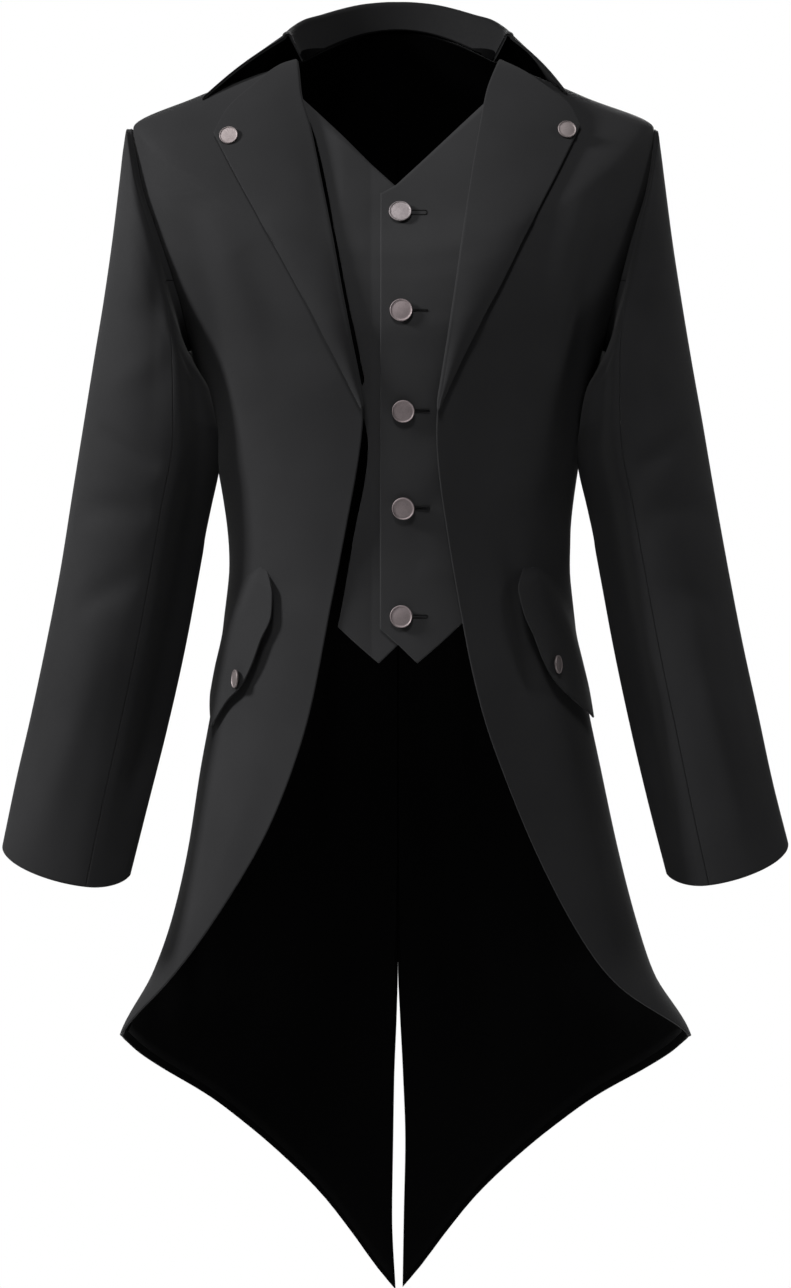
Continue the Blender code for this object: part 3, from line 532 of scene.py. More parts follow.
def cloth_finish(name, dark, light, rib, relief, roughness, sheen, specular):
    """A woven finish: twill relief, slow tone and fuzz, with a low sheen."""
    made = bpy.data.materials.new(name)
    made.use_nodes = True
    tree = made.node_tree
    shader = tree.nodes["Principled BSDF"]
    shader.inputs["Specular IOR Level"].default_value = specular
    shader.inputs["Sheen Weight"].default_value = sheen
    shader.inputs["Sheen Roughness"].default_value = SHEEN_ROUGHNESS
    grain = joined(tree, "ShaderNodeUVMap", {}, uv_map="grain")
    place = joined(tree, "ShaderNodeTexCoord", {})
    weave = tree.nodes.new("ShaderNodeGroup")
    weave.node_tree = weave_group
    weave.inputs["Rib"].default_value = rib
    tree.links.new(grain.outputs[0], weave.inputs["Grain"])
    tone = tree.nodes.new("ShaderNodeGroup")
    tone.node_tree = tone_group
    tree.links.new(place.outputs["Object"], tone.inputs["Place"])
    mixed = joined(
        tree, "ShaderNodeMath",
        {0: weave.outputs["Thread"], 1: THREAD_SHARE, 2: tone.outputs["Tone"]},
        operation="MULTIPLY_ADD",
    )
    mixed = joined(
        tree, "ShaderNodeMath", {0: tone.outputs["Fuzz"], 1: FUZZ_SHARE, 2: mixed.outputs[0]},
        operation="MULTIPLY_ADD",
    )
    ramp = joined(
        tree, "ShaderNodeMapRange",
        {"Value": mixed.outputs[0], "From Min": 0.4, "From Max": 1.1, "To Min": 0.0, "To Max": 1.0},
    )
    colour = joined(
        tree, "ShaderNodeMix",
        {0: ramp.outputs[0], 6: (*dark, 1.0), 7: (*light, 1.0)}, data_type="RGBA",
    )
    tree.links.new(colour.outputs[2], shader.inputs["Base Color"])
    rough = joined(
        tree, "ShaderNodeMapRange",
        {"Value": tone.outputs["Fuzz"], "From Min": 0.3, "From Max": 0.7,
         "To Min": roughness - ROUGHNESS_SPREAD, "To Max": roughness + ROUGHNESS_SPREAD},
    )
    tree.links.new(rough.outputs[0], shader.inputs["Roughness"])
    fuzzed = joined(
        tree, "ShaderNodeMath",
        {0: tone.outputs["Fuzz"], 1: FUZZ_RELIEF, 2: weave.outputs["Height"]},
        operation="MULTIPLY_ADD",
    )
    bump = joined(
        tree, "ShaderNodeBump",
        {"Strength": relief, "Distance": RELIEF_DEPTH, "Height": fuzzed.outputs[0]},
    )
    tree.links.new(bump.outputs[0], shader.inputs["Normal"])
    return made


suiting = cloth_finish(
    "black_suiting", (0.0125, 0.0125, 0.0132), (0.0205, 0.0205, 0.0215),
    0.0009, 0.35, 0.80, 0.04, 0.12,
)
satin = cloth_finish(
    "black_satin", (0.0004, 0.0004, 0.0005), (0.0008, 0.0008, 0.0009),
    0.0004, 0.15, 0.60, 0.0, 0.02,
)

panel_v = panel_steps(PANEL_ROWS, PANEL_FINE)
for side, name in SIDES:
    angle, level = panel_places(front_edge(side), panel_outer(1), panel_v, PANEL_COLUMNS, side)
    points = body_point(angle, level, side)
    normal = body_normal(angle, level, side)
    folds = FRONT_FOLDS_RIGHT if side == RIGHT else FRONT_FOLDS_LEFT
    rise = fold_heights(points[..., 0] * side, points[..., 2], folds)
    from_edge = np.linalg.norm(points - points[:, :1], axis=-1)
    to_seam = np.linalg.norm(points - points[:, -1:], axis=-1)
    rise *= np.clip(from_edge / EDGE_FADE, 0, 1) * np.clip(to_seam / SEAM_FADE, 0, 1)
    row = panel_v * PANEL_ROWS
    held_back = HELD_BACK * np.clip(ROLL_END_ROW + 0.2 - row, 0, 1)
    toward = unit(points[:, 6:7] - points[:, :1])
    points = points + toward * (held_back * np.exp(-from_edge / HELD_BACK_REACH))[..., None]
    first_row, last_row = STANDS_ROWS
    stands = np.clip((row - first_row) / STANDS_EASE, 0, 1)
    stands = stands * np.clip((last_row - row) / STANDS_EASE, 0, 1)
    rise = rise + FRONT_STANDS_OFF * stands * np.exp(-from_edge / STANDS_REACH)
    outer = points + normal * rise[..., None]
    inner = outer - normal * CLOTH
    piece = cut_cloth(f"front_{name}_cloth", outer, inner, suiting, satin, from_edge > FACING)
    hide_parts(f"front_{name}")

# Backs: two panels, each with its tail in one, joined at the centre back down to the
# vent. They are lined with satin to the neck, and their edges are pressed in a round.
BACK_FOLD_SPREAD = {"right": 1.0, "left": 0.97}
# right_angle, left_angle, level
BACK_EDGE = (
    (0.00, 0.00, 0.000), (11.25, 11.25, 0.000), (22.50, 22.50, 0.000),
    (33.75, 33.75, 0.000), (45.00, 45.00, 0.000), (56.25, 56.25, 0.000),
    (67.50, 67.50, 0.000), (78.75, 78.75, 0.000), (90.00, 90.00, 0.000),
    (90.00, 90.00, -0.045), (90.00, 90.00, -0.090), (90.00, 90.00, -0.140),
    (90.00, 90.00, -0.190), (90.00, 90.00, -0.250), (90.00, 90.00, -0.310),
    (90.00, 90.00, -0.372), (90.00, 90.00, -0.434), (90.00, 90.00, -0.496),
    (90.00, 90.00, -0.558), (90.00, 90.00, -0.625), (90.00, 90.00, -0.695),
    (90.00, 90.00, -0.775), (89.75, 89.60, -0.822), (89.30, 89.05, -0.874),
    (89.10, 88.65, -0.934), (88.95, 88.95, -1.000), (89.60, 89.20, -1.067),
)
# angle, level, from the side seam to the tip
TAIL_HEM = (
    (8.0, -0.8215), (16.0, -0.8290), (26.0, -0.8425), (36.0, -0.8585),
    (50.0, -0.8860), (60.5, -0.9165), (69.0, -0.9480), (76.0, -0.9800),
    (82.0, -1.0160), (86.0, -1.0430), (90.0, -1.0670),
)
# x0, z0, x1, z1, half_width, height, bow
BACK_FOLDS = (
    (0.175, -0.110, 0.120, -0.260, 0.014, -0.0026, -0.010),
    (0.150, -0.100, 0.090, -0.250, 0.017, 0.0020, -0.012),
    (0.100, -0.385, 0.012, -0.402, 0.009, -0.0018, 0.006),
    (0.120, -0.425, 0.016, -0.432, 0.008, -0.0014, -0.005),
    (0.128, -0.350, 0.050, -0.366, 0.011, -0.0014, 0.006),
    (0.045, -0.470, 0.075, -0.880, 0.020, 0.0034, 0.012),
    (0.080, -0.480, 0.125, -0.850, 0.022, -0.0030, 0.012),
    (0.115, -0.500, 0.180, -0.830, 0.020, 0.0028, 0.010),
)


def tail_hem(side):
    level = smooth_curve([row[0] for row in TAIL_HEM], [row[1] for row in TAIL_HEM])
    centre = BACK_EDGE[-1][0 if side == RIGHT else 1]

    def place(u):
        angle = centre + (SIDE_SEAM[-1][0] - centre) * u
        return angle, level(angle)

    return place


def back_places(side, v, count):
    inner_edge = edge(BACK_EDGE, [0 if side == RIGHT else 1, 2])
    return panel_places(inner_edge, panel_outer(-1), v, count, side, last=tail_hem(side))


for side, name in SIDES:
    angle, level = back_places(side, panel_v, PANEL_COLUMNS)
    points = body_point(angle, level, side)
    normal = body_normal(angle, level, side)
    rise = fold_heights(points[..., 0] * side * BACK_FOLD_SPREAD[name], points[..., 2], BACK_FOLDS)
    from_centre = np.linalg.norm(points - points[:, :1], axis=-1)
    to_seam = np.linalg.norm(points - points[:, -1:], axis=-1)
    rise *= np.clip(from_centre / SEAM_FADE, 0, 1) * np.clip(to_seam / SEAM_FADE, 0, 1)
    outer = points + normal * rise[..., None]
    piece = cut_cloth(f"back_{name}_cloth", outer, outer - normal * CLOTH, suiting, satin)
    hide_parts(f"back_{name}")

# Tail linings: black satin, cut short of every edge, felled to the hem's turning. They
# hang just inside the tails from below the waist and show between the cut-away fronts.
LINING_FIRST_ROW = 16
LINING_GAP = 0.0009
LINING_THICKNESS = 0.0010
LINING_STEPS, LINING_COLUMNS = 4, 30
# how far it stops short of the tail's side edges and of its hem
SIDE_SHORT, SIDE_SHORT_REACH = 0.003, 0.01
HEM_SHORT, HEM_SHORT_REACH = 0.007, 0.02
VENT_ROW, VENT_EASE = 19.5, 1.5
# its length is eased in, in slow ripples that fade toward the edges and the hem
LINING_EASE = 0.0018
RIPPLE_ACROSS, RIPPLE_DOWN = 95, 9
RIPPLE_FADE, RIPPLE_HEM_FADE = 0.03, 0.05
for side, name in SIDES:
    v = np.arange(LINING_FIRST_ROW * LINING_STEPS, PANEL_ROWS * LINING_STEPS + 1)[:, None]
    v = v / (PANEL_ROWS * LINING_STEPS)
    whole_v = np.concatenate([[[0.0]], v])
    angle, level = [grid[1:] for grid in back_places(side, whole_v, LINING_COLUMNS)]
    points = body_point(angle, level, side)
    normal = body_normal(angle, level, side)
    inward = unit(points[:, 8:9] - points[:, :1])
    outward = unit(points[:, -9:-8] - points[:, -1:])
    edge_near = np.linalg.norm(points - points[:, :1], axis=-1)[..., None]
    edge_far = np.linalg.norm(points - points[:, -1:], axis=-1)[..., None]
    short = np.clip((v * PANEL_ROWS - VENT_ROW) / VENT_EASE, 0.1, 1)[..., None]
    inward = inward * short * np.exp(-edge_near / SIDE_SHORT_REACH)
    outward = outward * np.exp(-edge_far / SIDE_SHORT_REACH)
    points = points + SIDE_SHORT * (inward + outward)
    up = unit(points[:-1] - points[1:])
    up = np.concatenate([up, up[-1:]])
    to_hem = np.linalg.norm(points - points[-1:], axis=-1)[..., None]
    points = points + HEM_SHORT * up * np.exp(-to_hem / HEM_SHORT_REACH)
    rise = fold_heights(points[..., 0] * side, points[..., 2], BACK_FOLDS)
    edge_near, edge_far, to_hem = edge_near[..., 0], edge_far[..., 0], to_hem[..., 0]
    rise *= np.clip(edge_near / SEAM_FADE, 0, 1) * np.clip(edge_far / SEAM_FADE, 0, 1)
    ripple = np.sin(points[..., 0] * side * RIPPLE_ACROSS + points[..., 2] * RIPPLE_DOWN) ** 2
    ripple = LINING_EASE * ripple
    ripple *= np.clip(edge_near / RIPPLE_FADE, 0, 1) * np.clip(edge_far / RIPPLE_FADE, 0, 1)
    ripple *= np.clip(to_hem / RIPPLE_HEM_FADE, 0, 1)
    outer = points + normal * (rise - CLOTH - LINING_GAP - ripple)[..., None]
    piece = cut_cloth(f"tail_lining_{name}_satin", outer, outer - normal * LINING_THICKNESS, satin)
    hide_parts(f"tail_lining_{name}")

# Waistcoat: two false fronts sewn in under the coat's fronts, of the coat's suiting painted a
# shade lighter as painted light. The left laps over the right, and the hem ends in two points.
WAISTCOAT_CLOTH = 0.0015
WAISTCOAT_DEPTH = 0.0033
# the right front lies this much deeper, under the left one's lap
UNDER_WRAP = 0.0030
UNDER_WRAP_INNER_X, UNDER_WRAP_OUTER_X = 0.022, 0.045
# top_x, hem_x, hem_level
WAISTCOAT_STRIPS = (
    (-0.0143, -0.0150, -0.4690), (0.0005, 0.0012, -0.4830), (0.0200, 0.0160, -0.4970),
    (0.0400, 0.0340, -0.4820), (0.0600, 0.0525, -0.4655), (0.0740, 0.0800, -0.4470),
    (0.0840, 0.1050, -0.4370),
)
STRIP_STEPS, WAISTCOAT_ROWS = 8, 110
# x, z of the V as seen from the front: its point, then its upper ends
NECK_POINT = (-0.0014, -0.1042)
NECK_END = {"right": (0.0815, -0.0300), "left": (0.0770, -0.0300)}
NECK_LAP = (-0.0143, -0.1117)
# level, x of the right front's free side edge, which shows below the roll
FREE_SIDE = (
    (0.000, 0.084), (-0.150, 0.062), (-0.230, 0.042), (-0.286, 0.0250),
    (-0.360, 0.0370), (-0.420, 0.0470), (-0.480, 0.0585),
)
FREE_SIDE_PIN = 0.006
# z, width of the gap beside the right roll line; above, where it is less than 0, the
# edge is sewn in under the lapel
ROLL_GAP = (
    (-0.030, -0.0040), (-0.045, 0.0010), (-0.065, 0.0040), (-0.106, 0.0053),
    (-0.148, 0.0042), (-0.190, 0.0031), (-0.232, 0.0028), (-0.262, 0.0024),
)
GAP_CLOSES, GAP_ROUNDS = 0.014, 8
# the hidden side gives way under the front's folds
HIDDEN_X, HIDDEN_EASE = 0.050, 0.015
# the coat's suiting with its colours raised: painted light for the brighter, even light on the
# waistcoat
painted_light_waistcoat_suiting = cloth_finish(
    "black_suiting_painted_lighter", (0.0185, 0.0185, 0.0194), (0.0300, 0.0300, 0.0312),
    0.0009, 0.35, 0.80, 0.04, 0.12,
)
# x0, z0, x1, z1, half_width, height, bow
WAISTCOAT_FOLDS = (
    (0.060, -0.330, 0.012, -0.400, 0.010, -0.0010, 0.004),
    (0.055, -0.250, 0.010, -0.330, 0.012, -0.0008, -0.004),
    (0.050, -0.430, 0.016, -0.420, 0.009, 0.0008, 0.002),
)


for side, name in SIDES:
    table = np.array(WAISTCOAT_STRIPS)
    strip = np.arange(3, 6 * STRIP_STEPS) / STRIP_STEPS
    strip = np.concatenate([[0.0, 0.08, 0.2], strip, [5.9, 6.0]])
    top_x, hem_x, hem_level = [np.interp(strip, np.arange(7), table[:, k]) for k in range(3)]
    inside = np.linspace(0.016, 0.984, WAISTCOAT_ROWS)
    v = np.concatenate([[0.0, 0.003, 0.008], inside, [0.992, 0.997, 1.0]])[:, None]
    point = (-NECK_POINT[0], NECK_POINT[1]) if side == RIGHT else NECK_POINT
    end = NECK_END[name]
    top_z = point[1] + (top_x - point[0]) * (end[1] - point[1]) / (end[0] - point[0])
    lap_z = point[1] + (top_x - point[0]) * (NECK_LAP[1] - point[1]) / (NECK_LAP[0] - point[0])
    top_z = np.where(top_x < point[0], lap_z, top_z)
    top_level = place_seen(top_x, top_z, side)[1]
    x = top_x * (1 - v) + hem_x * v
    level = top_level * (1 - v) + hem_level * v
    if side == RIGHT:
        line, gap, below = np.array(ROLL_LINE_RIGHT), np.array(ROLL_GAP), np.array(FREE_SIDE)
        roll_x, roll_gap = smooth_curve(line[:, 1], line[:, 0]), smooth_curve(gap[:, 0], gap[:, 1])
        below_x = free_x = smooth_curve(below[:, 0], below[:, 1])(level[:, -1:])
        for _ in range(GAP_ROUNDS):
            free_level = top_level[-1] * (1 - v) + np.interp(free_x, table[:, 1], table[:, 2]) * v
            z = body_point(angle_at(free_x, free_level, side), free_level, side)[..., 2]
            share = np.clip((z - line[-1, 1]) / GAP_CLOSES, 0, 1)
            free_x = below_x + share * (roll_x(z) - roll_gap(z) - below_x)
        squeeze = (free_x - FREE_SIDE_PIN) / (x[:, -1:] - FREE_SIDE_PIN)
        x = np.where(x > FREE_SIDE_PIN, FREE_SIDE_PIN + (x - FREE_SIDE_PIN) * squeeze, x)
        hem_line = np.interp(x, table[:, 1], table[:, 2])
        level = top_level * (1 - v) + hem_line * v
    angle = angle_at(x, level, side)
    points = body_point(angle, level, side)
    normal = body_normal(angle, level, side)
    depth = np.full(x.shape, WAISTCOAT_DEPTH)
    if side == RIGHT:
        under = (UNDER_WRAP_OUTER_X - x) / (UNDER_WRAP_OUTER_X - UNDER_WRAP_INNER_X)
        depth = depth + UNDER_WRAP * np.clip(under, 0, 1)
    rise = fold_heights(x, points[..., 2], WAISTCOAT_FOLDS)
    folds = FRONT_FOLDS_RIGHT if side == RIGHT else FRONT_FOLDS_LEFT
    pressed = np.minimum(fold_heights(points[..., 0] * side, points[..., 2], folds), 0)
    rise = rise + pressed * np.clip((x - HIDDEN_X) / HIDDEN_EASE, 0, 1)
    outer = points - normal * (depth - rise)[..., None]
    inner = outer - normal * WAISTCOAT_CLOTH
    piece = cut_cloth(f"waistcoat_{name}_cloth", outer, inner, painted_light_waistcoat_suiting, satin)
    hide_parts(f"waistcoat_{name}")

# Lapels: the fronts' own facing turned back over the chest on a soft roll, from the
# collar's end down to the roll's end. Each lies a little proud of the front.
LAPEL_CLOTH = 0.0019
LAPEL_GAP = 0.0009
LAPEL_LIFT = 0.0040
LAPEL_ARCH = 0.86
LAPEL_ROLL = 0.0027
# x, z as seen from the front: the free edge down from its corner, and the top edge out
# from the roll line to that corner
LAPEL_FREE = {
    "right": (
        (0.1515, -0.0655), (0.1290, -0.1080), (0.1075, -0.1455),
        (0.0850, -0.1850), (0.0530, -0.2440), (0.0300, -0.2890),
    ),
    "left": (
        (0.1500, -0.0590), (0.1280, -0.1030), (0.1068, -0.1425),
        (0.0860, -0.1835), (0.0545, -0.2430), (0.0335, -0.2890),
    ),
}
LAPEL_TOP = {
    "right": (
        (0.0830, -0.0008), (0.0949, -0.0060), (0.1176, -0.0250),
        (0.1411, -0.0470), (0.1515, -0.0655),
    ),
    "left": (
        (0.0830, -0.0008), (0.1025, -0.0130), (0.1235, -0.0290),
        (0.1403, -0.0420), (0.1500, -0.0590),
    ),
}
LAPEL_ROWS, LAPEL_FINE, LAPEL_COLUMNS = 12, 9, 25
# the roll starts inside the fold and ends on top; its under side is pressed thinner
ROLL_TURNS, ROLL_STEPS = (225, 105), 9
ROLL_THIN = 0.85


def lapel_height(u):
    """Height of the lapel's underside over the front, by its share across."""
    return LAPEL_GAP + LAPEL_LIFT * np.sin(math.pi * np.clip(u * LAPEL_ARCH, 0, 1))


def grid_normals(grid, outward):
    """Normals of a grid of points, turned to the side that its first one should face."""
    normal = unit(np.cross(np.gradient(grid, axis=0), np.gradient(grid, axis=1)))
    return -normal if np.dot(normal[0, 0], outward) < 0 else normal


for side, name in SIDES:
    whole_edge = front_edge(side)
    roll = lambda t: whole_edge(t * ROLL_END_ROW / PANEL_ROWS)
    free = seen_edge(LAPEL_FREE[name], side)
    top = seen_edge(LAPEL_TOP[name], side)
    v = panel_steps(LAPEL_ROWS, LAPEL_FINE)
    rough = between(roll, free, v, np.linspace(0, 1, 17)[None, :], first=top)
    width = row_widths(body_point(*rough, side))[:, None]
    across = LAPEL_ROLL / np.maximum(width, 2.5 * LAPEL_ROLL)
    even = np.concatenate([np.linspace(0, 1, LAPEL_COLUMNS)[:-2], [0.968, 0.985, 1.0]])[None, :]
    u = across + (1 - across) * even
    angle, level = between(roll, free, v, u, first=top)
    points = body_point(angle, level, side)
    normal = body_normal(angle, level, side)
    over = points + normal * (lapel_height(u) + LAPEL_CLOTH)[..., None]
    edge_angle, edge_level = [grid[:, :1] for grid in between(roll, free, v, 0 * u, first=top)]
    fold_line = body_point(edge_angle, edge_level, side)
    lift = body_normal(edge_angle, edge_level, side)
    from_fold = over[:, :1] - fold_line
    high = (from_fold * lift).sum(-1, keepdims=True)
    toward = unit(from_fold - lift * high)
    reach = (from_fold * toward).sum(-1, keepdims=True)
    turns = np.radians(np.linspace(*ROLL_TURNS, ROLL_STEPS))[None, :, None]
    radius = np.minimum(LAPEL_ROLL, reach)
    centre = fold_line + toward * radius + lift * (high - LAPEL_ROLL)
    rolled = centre + toward * radius * np.cos(turns) + lift * LAPEL_ROLL * np.sin(turns)
    over = np.concatenate([rolled, over], axis=1)
    facing_out = grid_normals(over, normal[0, 0])
    middle_out = np.sign((facing_out[:, -5:-4] * normal[:, -5:-4]).sum(-1, keepdims=True))
    under = over - facing_out * middle_out * LAPEL_CLOTH * ROLL_THIN
    piece = cut_cloth(f"lapel_{name}_cloth", over, under, suiting)
    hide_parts(f"lapel_{name}")

# Pocket flaps: slanted and shaped, two layers of suiting bagged out and pressed, sewn into
# the front along the upper edge only. The free edge stands off enough to throw a shadow.
FLAP_CLOTH = 0.0018
FLAP_GAP = 0.0015
FLAP_LIFT = 0.0012
# share across and share along over which it sinks flush into its seam and upper end
FLAP_FLUSH, FLAP_END = 0.55, 0.13
FLAP_CURL = {"right": 0.0045, "left": 0.0060}
CURL_FROM, CURL_ENDS = 0.45, (0.12, 0.88)
FLAP_CROWN = 0.0012
FLAP_FINE, FLAP_COLUMNS = 8, 22
FLAP_MARGINS = (0.0, 0.0009, 0.0022, 0.0042)
# sewn_angle, sewn_level, right_angle, right_level, left_angle, left_level
POCKET_FLAP = (
    (-40.0, -0.4190, -43.0, -0.422, -46.6, -0.420),
    (-33.0, -0.4270, -48.0, -0.441, -51.0, -0.438),
    (-26.0, -0.4370, -48.8, -0.460, -50.0, -0.458),
    (-18.0, -0.4490, -45.8, -0.480, -47.2, -0.477),
    (-10.0, -0.4620, -43.2, -0.500, -44.6, -0.497),
    (-3.0, -0.4750, -39.2, -0.518, -40.6, -0.514),
    (3.0, -0.4880, -31.0, -0.534, -32.0, -0.530),
    (6.0, -0.5000, -23.5, -0.554, -16.0, -0.548),
)


def flap_height(u):
    return FLAP_GAP + FLAP_LIFT * u


for side, name in SIDES:
    free = edge(POCKET_FLAP, [2, 3] if side == RIGHT else [4, 5])
    v = panel_steps(len(POCKET_FLAP) - 1, FLAP_FINE)
    rough = between(edge(POCKET_FLAP, [0, 1]), free, v, np.linspace(0, 1, 17)[None, :])
    width = row_widths(body_point(*rough, side))
    u = shares(width, FLAP_COLUMNS, FLAP_MARGINS)
    angle, level = between(edge(POCKET_FLAP, [0, 1]), free, v, u)
    points = body_point(angle, level, side)
    normal = body_normal(angle, level, side)
    flush = np.clip(1 - u / FLAP_FLUSH, 0, 1)
    flush = flush * flush * (3 - 2 * flush)
    curl = FLAP_CURL[name] * np.clip((u - CURL_FROM) / (1 - CURL_FROM), 0, 1) ** 2
    curl = curl * np.sin(math.pi * np.clip(v, *CURL_ENDS))
    crown = FLAP_CROWN * np.sin(math.pi * np.clip(u, 0, 1)) * np.sin(math.pi * v)
    joined_in = np.clip(1 - v / FLAP_END, 0, 1)
    joined_in = joined_in * joined_in * (3 - 2 * joined_in)
    flush = np.maximum(flush, joined_in)
    height = (flap_height(u) + crown + curl) * (1 - flush) - FLAP_CLOTH * flush
    under = points + normal * height[..., None]
    piece = cut_cloth(f"pocket_flap_{name}_cloth", under + normal * FLAP_CLOTH, under, suiting)
    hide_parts(f"pocket_flap_{name}")

# Sleeves: an upper and an under part each, seamed down the forearm and the hind arm, set
# into the armhole with a little ease, lined with satin above a turned-up cuff hem.
CUFF_TURNING = 0.040
SLEEVE_SQUARENESS = 2.15
INNER_CORNER = 117.0
INNER_FLATNESS = 0.95
INNER_HOLLOW = 0.0060
HOLLOW_TURN, HOLLOW_HALF = 144.0, 19.0
FOREARM_SEAM = 110.0
SLEEVE_HEAD_ROWS = 4.0
SLEEVE_HEAD_POWER = 1.5
CUFF_FRONT_DROP = 0.015
CUFF_DROP_ROWS = 3.0
# the flat side starts at this ring, and keeps a share of it at the cuff
FLAT_FROM, FLAT_EASE = 2, 3
FLAT_CUFF_EASE, FLAT_CUFF_LEAST = 1.5, 0.35
HOLLOW_OUT = 0.5
# beside the armpit the inner side is tucked in and forward, round one ring
TUCK_RING, TUCK_RINGS, TUCK_POWER = 4.6, 2.2, 1.5
TUCK_IN, TUCK_FORWARD = 0.0030, 0.026
INNER_BACK, INNER_BACK_RING = 0.020, 6
SLEEVE_FINE, SLEEVE_COLUMNS = 10, {"upper": 64, "under": 40}
SLEEVE_FOLD_FADE, HEAD_FOLD_FADE = 12, 1.2
ROPING, ROPING_RING, ROPING_HALF = 0.0009, 0.28, 0.22
# ring, how much farther in the sleeve's inner side lies, right and left
SNUG = (
    (2.0, 0.0, 0.0), (3.4, 0.0020, 0.0020), (4.6, 0.0050, 0.0048), (6.0, 0.0045, 0.0040),
    (7.2, 0.0020, 0.0016), (8.2, -0.0005, -0.0005), (9.5, 0.0, 0.0),
)
# outer_x, outer_z, inner_x, inner_z, centre_y, front_depth, back_depth
SLEEVE_RIGHT = (
    (0.2210, -0.0575, 0.1735, -0.2405, -0.002, 0.056, 0.060),
    (0.2260, -0.0565, 0.1775, -0.2430, -0.004, 0.059, 0.063),
    (0.2288, -0.0715, 0.1750, -0.2480, -0.007, 0.061, 0.065),
    (0.2320, -0.1000, 0.1705, -0.2560, -0.010, 0.062, 0.066),
    (0.2375, -0.1480, 0.1664, -0.2670, -0.017, 0.062, 0.066),
    (0.2445, -0.1980, 0.1618, -0.2840, -0.022, 0.062, 0.065),
    (0.2527, -0.2480, 0.1562, -0.3070, -0.025, 0.061, 0.064),
    (0.2612, -0.3000, 0.1515, -0.3340, -0.026, 0.060, 0.062),
    (0.2705, -0.3560, 0.1580, -0.3810, -0.025, 0.058, 0.060),
    (0.2820, -0.4250, 0.1700, -0.4470, -0.021, 0.054, 0.056),
    (0.2937, -0.4850, 0.1817, -0.5060, -0.023, 0.050, 0.051),
    (0.3065, -0.5450, 0.1955, -0.5660, -0.026, 0.046, 0.046),
    (0.3192, -0.6000, 0.2092, -0.6210, -0.030, 0.042, 0.042),
    (0.3303, -0.6540, 0.2235, -0.6790, -0.034, 0.039, 0.038),
)
SLEEVE_LEFT = (
    (0.2135, -0.0575, 0.1715, -0.2405, -0.002, 0.056, 0.060),
    (0.2165, -0.0580, 0.1755, -0.2430, -0.004, 0.059, 0.063),
    (0.2188, -0.0735, 0.1732, -0.2480, -0.007, 0.061, 0.065),
    (0.2222, -0.1010, 0.1693, -0.2560, -0.010, 0.062, 0.066),
    (0.2280, -0.1480, 0.1656, -0.2670, -0.017, 0.062, 0.066),
    (0.2355, -0.1980, 0.1611, -0.2840, -0.022, 0.062, 0.065),
    (0.2438, -0.2480, 0.1562, -0.3070, -0.025, 0.061, 0.064),
    (0.2532, -0.3000, 0.1524, -0.3340, -0.026, 0.060, 0.062),
    (0.2630, -0.3560, 0.1600, -0.3810, -0.025, 0.058, 0.060),
    (0.2760, -0.4250, 0.1725, -0.4470, -0.021, 0.054, 0.056),
    (0.2878, -0.4850, 0.1840, -0.5060, -0.023, 0.050, 0.051),
    (0.3010, -0.5450, 0.1970, -0.5660, -0.026, 0.046, 0.046),
    (0.3128, -0.6000, 0.2098, -0.6210, -0.030, 0.042, 0.042),
    (0.3258, -0.6520, 0.2242, -0.6780, -0.034, 0.039, 0.038),
)
# turn0, ring0, turn1, ring1, half_width, height, bow: turns in units of 60 degrees and
# rings in units of one, each close to 5 cm of cloth
SLEEVE_FOLDS = (
    (1.75, 3.2, 0.9, 5.2, 0.22, -0.0022, 0.10),
    (1.80, 4.4, 0.8, 6.4, 0.20, 0.0018, 0.10),
    (1.80, 7.4, 0.7, 7.0, 0.17, -0.0034, 0.06),
    (1.85, 8.1, 0.5, 8.3, 0.18, -0.0038, -0.08),
    (1.80, 8.8, 0.8, 9.5, 0.17, -0.0028, -0.06),
    (1.30, 9.2, 1.05, 12.6, 0.26, 0.0030, 0.05),
    (0.60, 8.8, 0.45, 12.8, 0.28, -0.0024, 0.05),
    (-0.60, 6.6, -1.5, 7.8, 0.20, -0.0022, 0.08),
    (-0.40, 8.6, -1.6, 8.2, 0.18, 0.0020, 0.08),
    (-1.80, 3.0, -1.1, 5.4, 0.22, -0.0024, 0.08),
    (4.15, 7.6, 3.0, 8.4, 0.20, -0.0020, 0.06),
    (2.00, 4.0, 2.9, 5.0, 0.20, -0.0014, 0.05),
)


